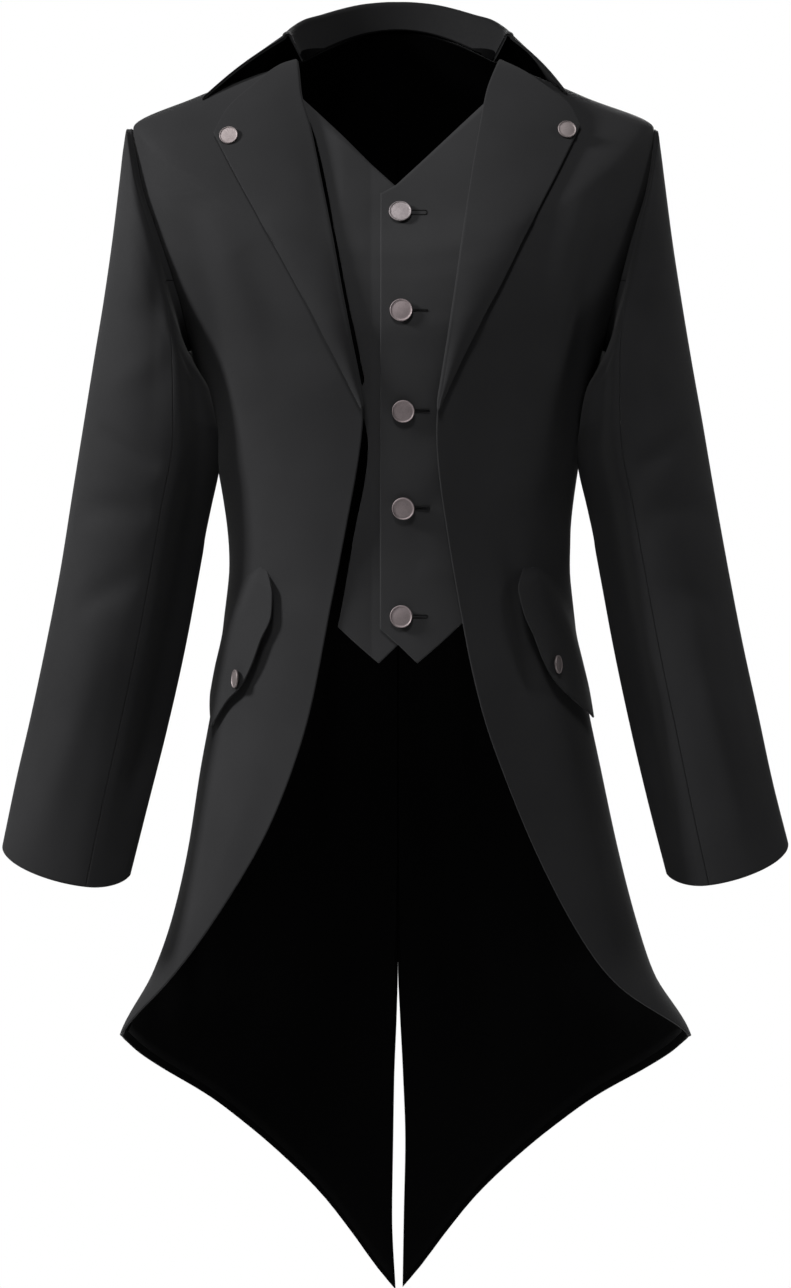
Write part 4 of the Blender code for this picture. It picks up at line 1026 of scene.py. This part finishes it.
def sleeve_surface(side):
    """Point of a sleeve by its turn (0 outer, 90 front) and its ring number."""
    rows = SLEEVE_RIGHT if side == RIGHT else SLEEVE_LEFT
    curves = column_curves(rows, list(range(7)))
    snug = smooth_curve([row[0] for row in SNUG], [row[1 if side == RIGHT else 2] for row in SNUG])
    last = len(rows) - 1

    def tube(turn, ring):
        outer_x, outer_z, inner_x, inner_z, centre_y, front, back = [f(ring) for f in curves]
        inner_x = inner_x - snug(ring)
        c, s = np.cos(np.radians(turn)), np.sin(np.radians(turn))
        power = SLEEVE_SQUARENESS
        reach = (np.abs(c) ** power + np.abs(s) ** power) ** (-1 / power)
        c_round, s_round = c * reach, s * reach
        # the under sleeve is nearly flat from the forearm seam to the inner side
        corner = math.radians(INNER_CORNER)
        size = (abs(math.cos(corner)) ** power + abs(math.sin(corner)) ** power) ** (-1 / power)
        c_corner, s_corner = math.cos(corner) * size, math.sin(corner) * size
        flat = c * s_corner - s * (c_corner + 1)
        flat = -s_corner / np.where(np.abs(flat) < 1e-9, -1e-9, flat)
        inside = (turn > INNER_CORNER) & (turn < 180)
        share = INNER_FLATNESS * np.clip((ring - FLAT_FROM) / FLAT_EASE, 0, 1)
        share = share * np.clip((last - ring) / FLAT_CUFF_EASE, FLAT_CUFF_LEAST, 1)
        c_round = np.where(inside, c_round + share * (c * flat - c_round), c_round)
        s_round = np.where(inside, s_round + share * (s * flat - s_round), s_round)
        x = (outer_x + inner_x) / 2 + (outer_x - inner_x) / 2 * c_round
        y = centre_y - np.where(s > 0, front, back) * s_round
        z = (outer_z + inner_z) / 2 + (outer_z - inner_z) / 2 * c_round
        near_cuff = np.clip((ring - (last - CUFF_DROP_ROWS)) / CUFF_DROP_ROWS, 0, 1)
        z = z - CUFF_FRONT_DROP * near_cuff ** 2 * np.clip(s, 0, 1)
        beside = np.clip(-c, 0, 1) ** TUCK_POWER * np.exp(-(((ring - TUCK_RING) / TUCK_RINGS) ** 2))
        x, y = x - TUCK_IN * beside, y - TUCK_FORWARD * beside
        along_back = np.clip((ring - INNER_BACK_RING) / 2, 0, 1) * np.clip((last - ring) / 2, 0, 1)
        y = y + INNER_BACK * np.clip(-c, 0, 1) ** 2 * along_back
        # it sinks in behind the forearm seam, which stands out as a soft edge
        hollow = INNER_HOLLOW * np.exp(-(((turn - HOLLOW_TURN) / HOLLOW_HALF) ** 2)) * share
        x, y = x + HOLLOW_OUT * hollow, y + hollow
        return np.stack(np.broadcast_arrays(side * x, y, z), -1)

    def surface(turn, ring):
        turn, ring = np.broadcast_arrays(np.asarray(turn, float), np.asarray(ring, float))
        seam = body_point(*armhole(turn), side)
        fade = np.clip(1 - ring / SLEEVE_HEAD_ROWS, 0, 1)[..., None] ** SLEEVE_HEAD_POWER
        return tube(turn, ring) + fade * (seam - tube(turn, 0.0))

    return surface, last


for side, name in SIDES:
    surface, last = sleeve_surface(side)
    ring = panel_steps(last, SLEEVE_FINE) * last
    for part, start, end in (
        ("upper", -FOREARM_SEAM, FOREARM_SEAM), ("under", FOREARM_SEAM, 360 - FOREARM_SEAM),
    ):
        width = row_widths(surface(np.linspace(start, end, 33)[None, :], ring))
        turn = start + (end - start) * shares(width, SLEEVE_COLUMNS[part])
        points = surface(turn, ring)
        around = surface(turn + 1.0, ring) - surface(turn - 1.0, ring)
        along = surface(turn, np.minimum(ring + 0.05, last))
        along = along - surface(turn, np.maximum(ring - 0.05, 0))
        normal = unit(np.cross(around, along)) * side
        rise = fold_heights(turn / 60, ring + 0 * turn, SLEEVE_FOLDS)
        rise *= np.clip((turn - start) / SLEEVE_FOLD_FADE, 0, 1)
        rise *= np.clip((end - turn) / SLEEVE_FOLD_FADE, 0, 1)
        rise *= np.clip(ring / HEAD_FOLD_FADE, 0, 1)
        roping = ROPING * np.exp(-((ring - ROPING_RING) / ROPING_HALF) ** 2)
        roping = roping * np.clip(np.cos(np.radians(turn)), 0, 1)
        outer = points + normal * (rise + roping)[..., None]
        to_cuff = np.linalg.norm(points - points[-1:], axis=-1)
        piece = cut_cloth(
            f"{part}_sleeve_{name}_cloth", outer, outer - normal * CLOTH, suiting, satin,
            to_cuff > CUFF_TURNING,
        )
        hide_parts(f"{part}_sleeve_{name}")

# Collar: a stand and a turned-down leaf in one, of the coat's suiting painted darker as painted
# shade, over canvas, sewn round the neck and rolled over. Its ends stand up and show the leaf's
# dark under side.
COLLAR_CLOTH = 0.0022
COLLAR_FOOT_IN = 0.0024
COLLAR_FOOT_UP = 0.0004
COLLAR_STATIONS = 70
# shares of the way up the stand where its lining may be felled
FELLED_LEAST, FELLED_MOST = 0.08, 0.85
# the coat's suiting with darker colours: painted shade for the shaded inside of the stand
collar_suiting_painted_shade = cloth_finish(
    "black_collar_cloth_painted_shade", (0.0060, 0.0060, 0.0064), (0.0105, 0.0105, 0.0110),
    0.0009, 0.35, 0.80, 0.02, 0.08,
)
# angle, fold_out, fold_up, roll_radius, leaf_angle, leaf_level_right,
# leaf_level_left, leaf_off, leaf_bulge
COLLAR_SECTIONS = (
    (-6.0, 0.0125, 0.0215, 0.0026, -13.0, -0.0290, -0.0245, 0.0010, 0.0030),
    (0.0, 0.0130, 0.0230, 0.0030, -6.0, -0.0250, -0.0215, 0.0004, 0.0010),
    (11.25, 0.0135, 0.0240, 0.0032, 5.0, -0.0205, -0.0175, 0.0006, 0.0006),
    (22.5, 0.0140, 0.0262, 0.0035, 19.0, -0.0175, -0.0155, 0.0010, 0.0015),
    (33.75, 0.0130, 0.0282, 0.0035, 32.0, -0.0150, -0.0135, 0.005, 0.0060),
    (45.0, 0.0100, 0.0272, 0.0035, 44.0, -0.0125, -0.0118, 0.005, 0.0070),
    (56.25, 0.0082, 0.0265, 0.0035, 56.0, -0.0105, -0.0100, 0.005, 0.0070),
    (67.5, 0.0070, 0.0258, 0.0035, 67.5, -0.0090, -0.0090, 0.005, 0.0070),
    (78.75, 0.0062, 0.0248, 0.0035, 78.75, -0.0083, -0.0083, 0.005, 0.0070),
    (90.0, 0.0060, 0.0243, 0.0035, 90.0, -0.0080, -0.0080, 0.005, 0.0070),
)
# the lining is felled to the stand along a nearly level line inside the neck
LINING_LINE = ((0.0, 0.0050), (15.0, 0.0100), (30.0, 0.0130), (60.0, 0.0150), (90.0, 0.0160))
collar_curves = column_curves(COLLAR_SECTIONS, list(range(9)))
lining_line = smooth_curve([row[0] for row in LINING_LINE], [row[1] for row in LINING_LINE])
steps = len(COLLAR_SECTIONS) - 1
stations = np.concatenate([[0.0, 0.03, 0.08], np.linspace(0.16, steps, COLLAR_STATIONS)])
up = np.array((0.0, 0.0, 1.0))
sections = []
for side, name in SIDES:
    half = []
    for station in stations:
        row = [float(f(station)) for f in collar_curves]
        angle, fold_out, fold_up, radius, leaf_angle, level_right, level_left = row[:7]
        leaf_off, leaf_bulge = row[7:]
        leaf_level = level_right if side == RIGHT else level_left
        foot = body_point(angle, 0.0, side)
        out = unit(foot * (1.0, 1.0, 0.0))
        foot = foot - out * COLLAR_FOOT_IN + up * COLLAR_FOOT_UP
        fold = foot + out * fold_out + up * (fold_up - radius)
        leaf = body_point(leaf_angle, leaf_level, side)
        leaf = leaf + body_normal(leaf_angle, leaf_level, side) * leaf_off
        turn_in = fold - out * radius
        felled = (lining_line(angle) - foot[2]) / max(turn_in[2] - foot[2], 0.001)
        felled = min(max(felled, FELLED_LEAST), FELLED_MOST)
        profile = [foot + (turn_in - foot) * felled * t for t in (0.0, 0.1, 0.5, 1.0)]
        profile += [foot + (turn_in - foot) * (felled + (1 - felled) * t) for t in (0.3, 0.6, 0.85)]
        for turn in range(180, -1, -20):
            ray = out * math.cos(math.radians(turn)) + up * math.sin(math.radians(turn))
            profile.append(fold + ray * radius)
        start = profile[-1]
        lift = unit(np.cross(leaf - start, np.cross(up, out)))
        lift = lift if np.dot(lift, up) > 0 else -lift
        for share in (0.08, 0.18, 0.3, 0.42, 0.54, 0.66, 0.78, 0.88, 0.95, 0.98, 1.0):
            bulge = leaf_bulge * math.sin(math.pi * share)
            profile.append(start * (1 - share) + leaf * share + lift * bulge)
        half.append(profile)
    sections += half if side == RIGHT else half[-2::-1]
sections = np.array(sections)
normal = grid_normals(sections, np.array((1.0, 0.0, 0.0)))
covered = np.zeros(sections.shape[:2], bool)
covered[:, :3] = True
half_cloth = normal * COLLAR_CLOTH / 2
piece = cut_cloth(
    "collar_cloth", sections - half_cloth, sections + half_cloth, collar_suiting_painted_shade, satin, covered
)
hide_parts("collar")

# Buttonholes: five worked across the waistcoat's left front, from behind each button
# toward the wearer's left. Close stitches of black silk twist lie round a straight slit.
BUTTON_GAP = 0.0006
BUTTONHOLE_START, BUTTONHOLE_END = 0.004, 0.0205
BUTTONHOLE_HALF = 0.0011
STITCH_RADIUS, STITCH_RIBS, STITCH_SIDES = 0.00065, 0.2, 6
STITCHES = 56
STITCH_FLATTENED = 0.8
STITCH_SUNK = 0.0001
# x, level
WAISTCOAT_BUTTONS = (
    (0.0017, -0.0220), (0.0025, -0.1330), (0.0042, -0.2880),
    (0.0042, -0.3710), (0.0025, -0.4590),
)
twist = cloth_finish(
    "black_twist", (0.0010, 0.0010, 0.0011), (0.003, 0.003, 0.0032),
    0.0003, 0.3, 0.6, 0.0, 0.15,
)
hole_vertices, hole_faces = [], []


def level_across(xs, level):
    """Levels that keep a mark level as seen, going out from the waistcoat's button."""
    start = np.array(xs[0])
    height = body_point(angle_at(start, level, LEFT), level, LEFT)[2]
    return place_seen(xs, np.full(len(xs), height), LEFT)[1]


for x, level in WAISTCOAT_BUTTONS:
    straight = BUTTONHOLE_END - BUTTONHOLE_START
    lap = 2 * straight + 2 * math.pi * BUTTONHOLE_HALF
    places = []
    for k in range(4 * STITCHES):
        run = lap * k / (4 * STITCHES)
        if run < straight:
            along, off = BUTTONHOLE_START + run, BUTTONHOLE_HALF
        elif run < straight + math.pi * BUTTONHOLE_HALF:
            turn = math.pi / 2 - (run - straight) / BUTTONHOLE_HALF
            along = BUTTONHOLE_END + BUTTONHOLE_HALF * math.cos(turn)
            off = BUTTONHOLE_HALF * math.sin(turn)
        elif run < 2 * straight + math.pi * BUTTONHOLE_HALF:
            along = BUTTONHOLE_END - (run - straight - math.pi * BUTTONHOLE_HALF)
            off = -BUTTONHOLE_HALF
        else:
            turn = -math.pi / 2 - (run - 2 * straight - math.pi * BUTTONHOLE_HALF) / BUTTONHOLE_HALF
            along = BUTTONHOLE_START + BUTTONHOLE_HALF * math.cos(turn)
            off = BUTTONHOLE_HALF * math.sin(turn)
        places.append((x + along, off))
    places = np.array(places)
    seen_level = level_across(places[:, 0], level) + places[:, 1]
    angle = angle_at(places[:, 0], seen_level, LEFT)
    normal = body_normal(angle, seen_level, LEFT)
    line = body_point(angle, seen_level, LEFT) - normal * (WAISTCOAT_DEPTH - STITCH_SUNK)
    ahead = unit(np.roll(line, -1, axis=0) - np.roll(line, 1, axis=0))
    beside = np.cross(ahead, normal)
    ribs = np.cos(np.arange(len(line)) * math.pi / 2)
    ribs = STITCH_RADIUS * (1 - STITCH_RIBS + STITCH_RIBS * ribs)[:, None]
    first = sum(len(block) for block in hole_vertices)
    count = len(line)
    for k in range(STITCH_SIDES):
        turn = 2 * math.pi * k / STITCH_SIDES
        around = beside * math.cos(turn) + normal * STITCH_FLATTENED * math.sin(turn)
        hole_vertices.append(line + ribs * around)
    for k in range(STITCH_SIDES):
        low = first + k * count
        high = first + (k + 1) % STITCH_SIDES * count
        place = np.arange(count)
        after = (place + 1) % count
        hole_faces.append(np.stack([low + place, low + after, high + after, high + place], 1))
vertices, faces = np.concatenate(hole_vertices), np.concatenate(hole_faces)
buttonholes = sew_mesh("waistcoat_buttonholes", vertices, faces, vertices[:, [0, 2]], [twist])

# Buttons: nine turned and tumbled pewter discs with a thin raised rim,
# five down the waistcoat, one on each lapel's corner and one on each pocket flap.
WAISTCOAT_BUTTON_RADIUS = 0.0092
SMALL_BUTTON_RADIUS = 0.0076
BUTTON_SEGMENTS = 64
# angle, level, and how far the lifted cloth turns the face to the wearer's side
LAPEL_BUTTON = {"right": (-36.4, -0.0308, 0.0), "left": (-32.7, -0.0326, 0.0)}
FLAP_BUTTON = {"right": (-37.0, -0.5130, 24.0), "left": (-38.6, -0.5010, 24.0)}
FLAP_BUTTON_RISE = 0.0032
BUTTON_LEVEL = 0.55
LAPEL_BUTTON_SHARE = 0.9
FLAP_BUTTON_SHARE = 0.8
# share_of_radius, height
BUTTON_PROFILE = (
    (0.0, 0.0), (0.45, 0.0), (0.55, 0.0001), (0.80, 0.0004), (0.93, 0.0009), (0.985, 0.0014),
    (1.0, 0.0019), (0.995, 0.0024), (0.975, 0.0027), (0.945, 0.0028), (0.915, 0.0027),
    (0.89, 0.0024), (0.86, 0.00225), (0.75, 0.0023), (0.50, 0.0025), (0.25, 0.0026), (0.0, 0.0026),
)
# colour, one per waistcoat button from the top; the upper ones darker as painted shade
WAISTCOAT_PEWTER_PAINTED_SHADE = (
    (0.29, 0.26, 0.265), (0.33, 0.28, 0.285), (0.34, 0.29, 0.295), (0.34, 0.29, 0.295),
    (0.34, 0.29, 0.295),
)
SMALL_PEWTER = (0.31, 0.27, 0.27)
TARNISH = 0.72
PEWTER_ROUGHNESS = (0.56, 0.72)


def pewter(name, colour):
    """Dull grey metal, finely brushed, a little darker where it has tarnished."""
    made = bpy.data.materials.new(name)
    made.use_nodes = True
    tree = made.node_tree
    shader = tree.nodes["Principled BSDF"]
    shader.inputs["Metallic"].default_value = 1.0
    place = joined(tree, "ShaderNodeTexCoord", {})
    cloud = joined(
        tree, "ShaderNodeTexNoise",
        {"Vector": place.outputs["Object"], "Scale": 260.0, "Detail": 4.0, "Roughness": 0.6},
    )
    dull = tuple(TARNISH * part for part in colour)
    tint = joined(
        tree, "ShaderNodeMix",
        {0: cloud.outputs[0], 6: (*colour, 1.0), 7: (*dull, 1.0)}, data_type="RGBA",
    )
    tree.links.new(tint.outputs[2], shader.inputs["Base Color"])
    brushed = joined(
        tree, "ShaderNodeTexNoise",
        {"Vector": place.outputs["Object"], "Scale": 1400.0, "Detail": 2.0, "Roughness": 0.5},
    )
    rough = joined(
        tree, "ShaderNodeMapRange",
        {"Value": brushed.outputs[0], "From Min": 0.3, "From Max": 0.7,
         "To Min": PEWTER_ROUGHNESS[0], "To Max": PEWTER_ROUGHNESS[1]},
    )
    tree.links.new(rough.outputs[0], shader.inputs["Roughness"])
    bump = joined(
        tree, "ShaderNodeBump",
        {"Strength": 0.3, "Distance": 0.00004, "Height": brushed.outputs[0]},
    )
    tree.links.new(bump.outputs[0], shader.inputs["Normal"])
    return made


def add_button(name, centre, axis, radius, finish):
    axis = unit(axis)
    across = unit(np.cross(axis, (0.0, 0.0, 1.0)))
    along = np.cross(axis, across)
    turn = np.arange(BUTTON_SEGMENTS) * 2 * math.pi / BUTTON_SEGMENTS
    ray = across * np.cos(turn)[:, None] + along * np.sin(turn)[:, None]
    rings = [centre + axis * high + ray * radius * share for share, high in BUTTON_PROFILE[1:-1]]
    vertices = np.concatenate(rings + [[centre], [centre + axis * BUTTON_PROFILE[-1][1]]])
    faces = []
    place = np.arange(BUTTON_SEGMENTS)
    after = (place + 1) % BUTTON_SEGMENTS
    for k in range(len(rings) - 1):
        low, high = k * BUTTON_SEGMENTS, (k + 1) * BUTTON_SEGMENTS
        faces += np.stack([low + place, low + after, high + after, high + place], 1).tolist()
    back, front = len(vertices) - 2, len(vertices) - 1
    last = (len(rings) - 1) * BUTTON_SEGMENTS
    faces += [[back, int(a), int(p)] for p, a in zip(place, after)]
    faces += [[front, last + int(p), last + int(a)] for p, a in zip(place, after)]
    mesh = bpy.data.meshes.new(name)
    mesh.from_pydata(vertices.tolist(), [], faces)
    mesh.materials.append(finish)
    mesh.polygons.foreach_set("use_smooth", np.ones(len(faces), bool))
    build = bmesh.new()
    build.from_mesh(mesh)
    bmesh.ops.recalc_face_normals(build, faces=build.faces)
    build.to_mesh(mesh)
    build.free()
    made = bpy.data.objects.new(name, mesh)
    bpy.context.scene.collection.objects.link(made)
    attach(made, "root")
    return made


for number, ((x, level), colour) in enumerate(zip(WAISTCOAT_BUTTONS, WAISTCOAT_PEWTER_PAINTED_SHADE), 1):
    angle = angle_at(np.array(x), level, LEFT)
    axis = body_normal(angle, level, LEFT)
    centre = body_point(angle, level, LEFT) - axis * (WAISTCOAT_DEPTH - BUTTON_GAP)
    # each button's pewter is darkened toward the top as painted shade against its stronger
    # highlight
    finish = pewter(f"pewter_{number}", colour)
    button = f"waistcoat_button_{number}"
    piece = add_button(f"{button}_disc", centre, axis, WAISTCOAT_BUTTON_RADIUS, finish)
    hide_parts(button)
small_pewter = pewter("pewter_small", SMALL_PEWTER)
for side, name in SIDES:
    for kind, places, height in (
        ("lapel", LAPEL_BUTTON, lapel_height(LAPEL_BUTTON_SHARE) + LAPEL_CLOTH),
        ("flap", FLAP_BUTTON, flap_height(FLAP_BUTTON_SHARE) + FLAP_CLOTH + FLAP_BUTTON_RISE),
    ):
        angle, level, turned = places[name]
        axis = body_normal(angle, np.array(level), side)
        centre = body_point(angle, level, side) + axis * (height + BUTTON_GAP)
        axis = unit(axis * (1.0, 1.0, BUTTON_LEVEL))
        turned = math.radians(turned) * side
        axis = np.array((
            axis[0] * math.cos(turned) - axis[1] * math.sin(turned),
            axis[0] * math.sin(turned) + axis[1] * math.cos(turned), axis[2],
        ))
        button = f"{kind}_button_{name}"
        piece = add_button(f"{button}_disc", centre, axis, SMALL_BUTTON_RADIUS, small_pewter)
        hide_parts(button)

# Studio: a pale floor well below the tails, a soft key from the camera's left, weaker
# fills, and a camera at the photograph's height and distance.
FLOOR_Z = -1.45
FLOOR_RADIUS, FLOOR_CORNERS = 1.9, 120
FLOOR_COLOUR = (0.92, 0.92, 0.92, 1.0)
SKY_LIGHT = 0.02
LIGHTS_AIM = (0.0, 0.0, -0.5)
PIXEL = 0.84e-3
PHOTO_HEIGHT_PX = 1288
ORIGIN_PX = (398, 64)
CENTRE_PX = (395.5, 644)
CAMERA_DISTANCE = 4.0
CAMERA_RISE = math.radians(3.0)
SENSOR = 36.0
floor_mesh = bpy.data.meshes.new("floor")
floor_round = [math.radians(360 / FLOOR_CORNERS * k) for k in range(FLOOR_CORNERS)]
floor_mesh.from_pydata(
    [(FLOOR_RADIUS * math.cos(t), FLOOR_RADIUS * math.sin(t), FLOOR_Z) for t in floor_round],
    [], [list(range(FLOOR_CORNERS))],
)
floor = bpy.data.objects.new("floor", floor_mesh)
bpy.context.scene.collection.objects.link(floor)
floor_finish = bpy.data.materials.new("floor_paint")
floor_finish.use_nodes = True
floor_shader = floor_finish.node_tree.nodes["Principled BSDF"]
floor_shader.inputs["Base Color"].default_value = FLOOR_COLOUR
floor_shader.inputs["Roughness"].default_value = 0.9
floor_shader.inputs["Specular IOR Level"].default_value = 0.0
floor_mesh.materials.append(floor_finish)

world = bpy.data.worlds.new("studio")
bpy.context.scene.world = world
world.use_nodes = True
tree = world.node_tree
tree.nodes.clear()
seen = joined(tree, "ShaderNodeBackground", {"Color": (1.0, 1.0, 1.0, 1.0), "Strength": 1.0})
lit = joined(tree, "ShaderNodeBackground", {"Color": (1.0, 1.0, 1.0, 1.0), "Strength": SKY_LIGHT})
path = joined(tree, "ShaderNodeLightPath", {})
mix = joined(
    tree, "ShaderNodeMixShader",
    {0: path.outputs["Is Camera Ray"], 1: lit.outputs[0], 2: seen.outputs[0]},
)
joined(tree, "ShaderNodeOutputWorld", {"Surface": mix.outputs[0]})

# place, size, power
STUDIO_LIGHTS = (
    ((-2.60, -0.76, 1.15), 0.5, 118.0),
    ((-0.40, -2.15, 2.40), 0.6, 66.0),
    ((3.20, 0.05, 1.30), 0.7, 26.0),
    ((0.40, 3.40, 1.00), 1.6, 90.0),
)
for number, (place, size, power) in enumerate(STUDIO_LIGHTS, 1):
    lamp = bpy.data.lights.new(f"soft_light_{number}", "AREA")
    lamp.shape = "SQUARE"
    lamp.size = size
    lamp.energy = power
    light = bpy.data.objects.new(f"soft_light_{number}", lamp)
    bpy.context.scene.collection.objects.link(light)
    toward = np.array(LIGHTS_AIM) - np.array(place)
    light.location = place
    light.rotation_mode = "QUATERNION"
    light.rotation_quaternion = Vector(toward).to_track_quat("-Z", "Y")

lens = bpy.data.cameras.new("camera")
lens.sensor_width = SENSOR
lens.lens = SENSOR * CAMERA_DISTANCE / (PHOTO_HEIGHT_PX * PIXEL)
camera = bpy.data.objects.new("camera", lens)
bpy.context.scene.collection.objects.link(camera)
back = Vector((0.0, -math.cos(CAMERA_RISE), math.sin(CAMERA_RISE)))
aim = Vector(((CENTRE_PX[0] - ORIGIN_PX[0]) * PIXEL, 0.0, (ORIGIN_PX[1] - CENTRE_PX[1]) * PIXEL))
camera.location = aim + back * CAMERA_DISTANCE
camera.rotation_mode = "QUATERNION"
camera.rotation_quaternion = (-back).to_track_quat("-Z", "Y")
bpy.context.scene.camera = camera
bpy.context.scene.view_settings.view_transform = "Standard"
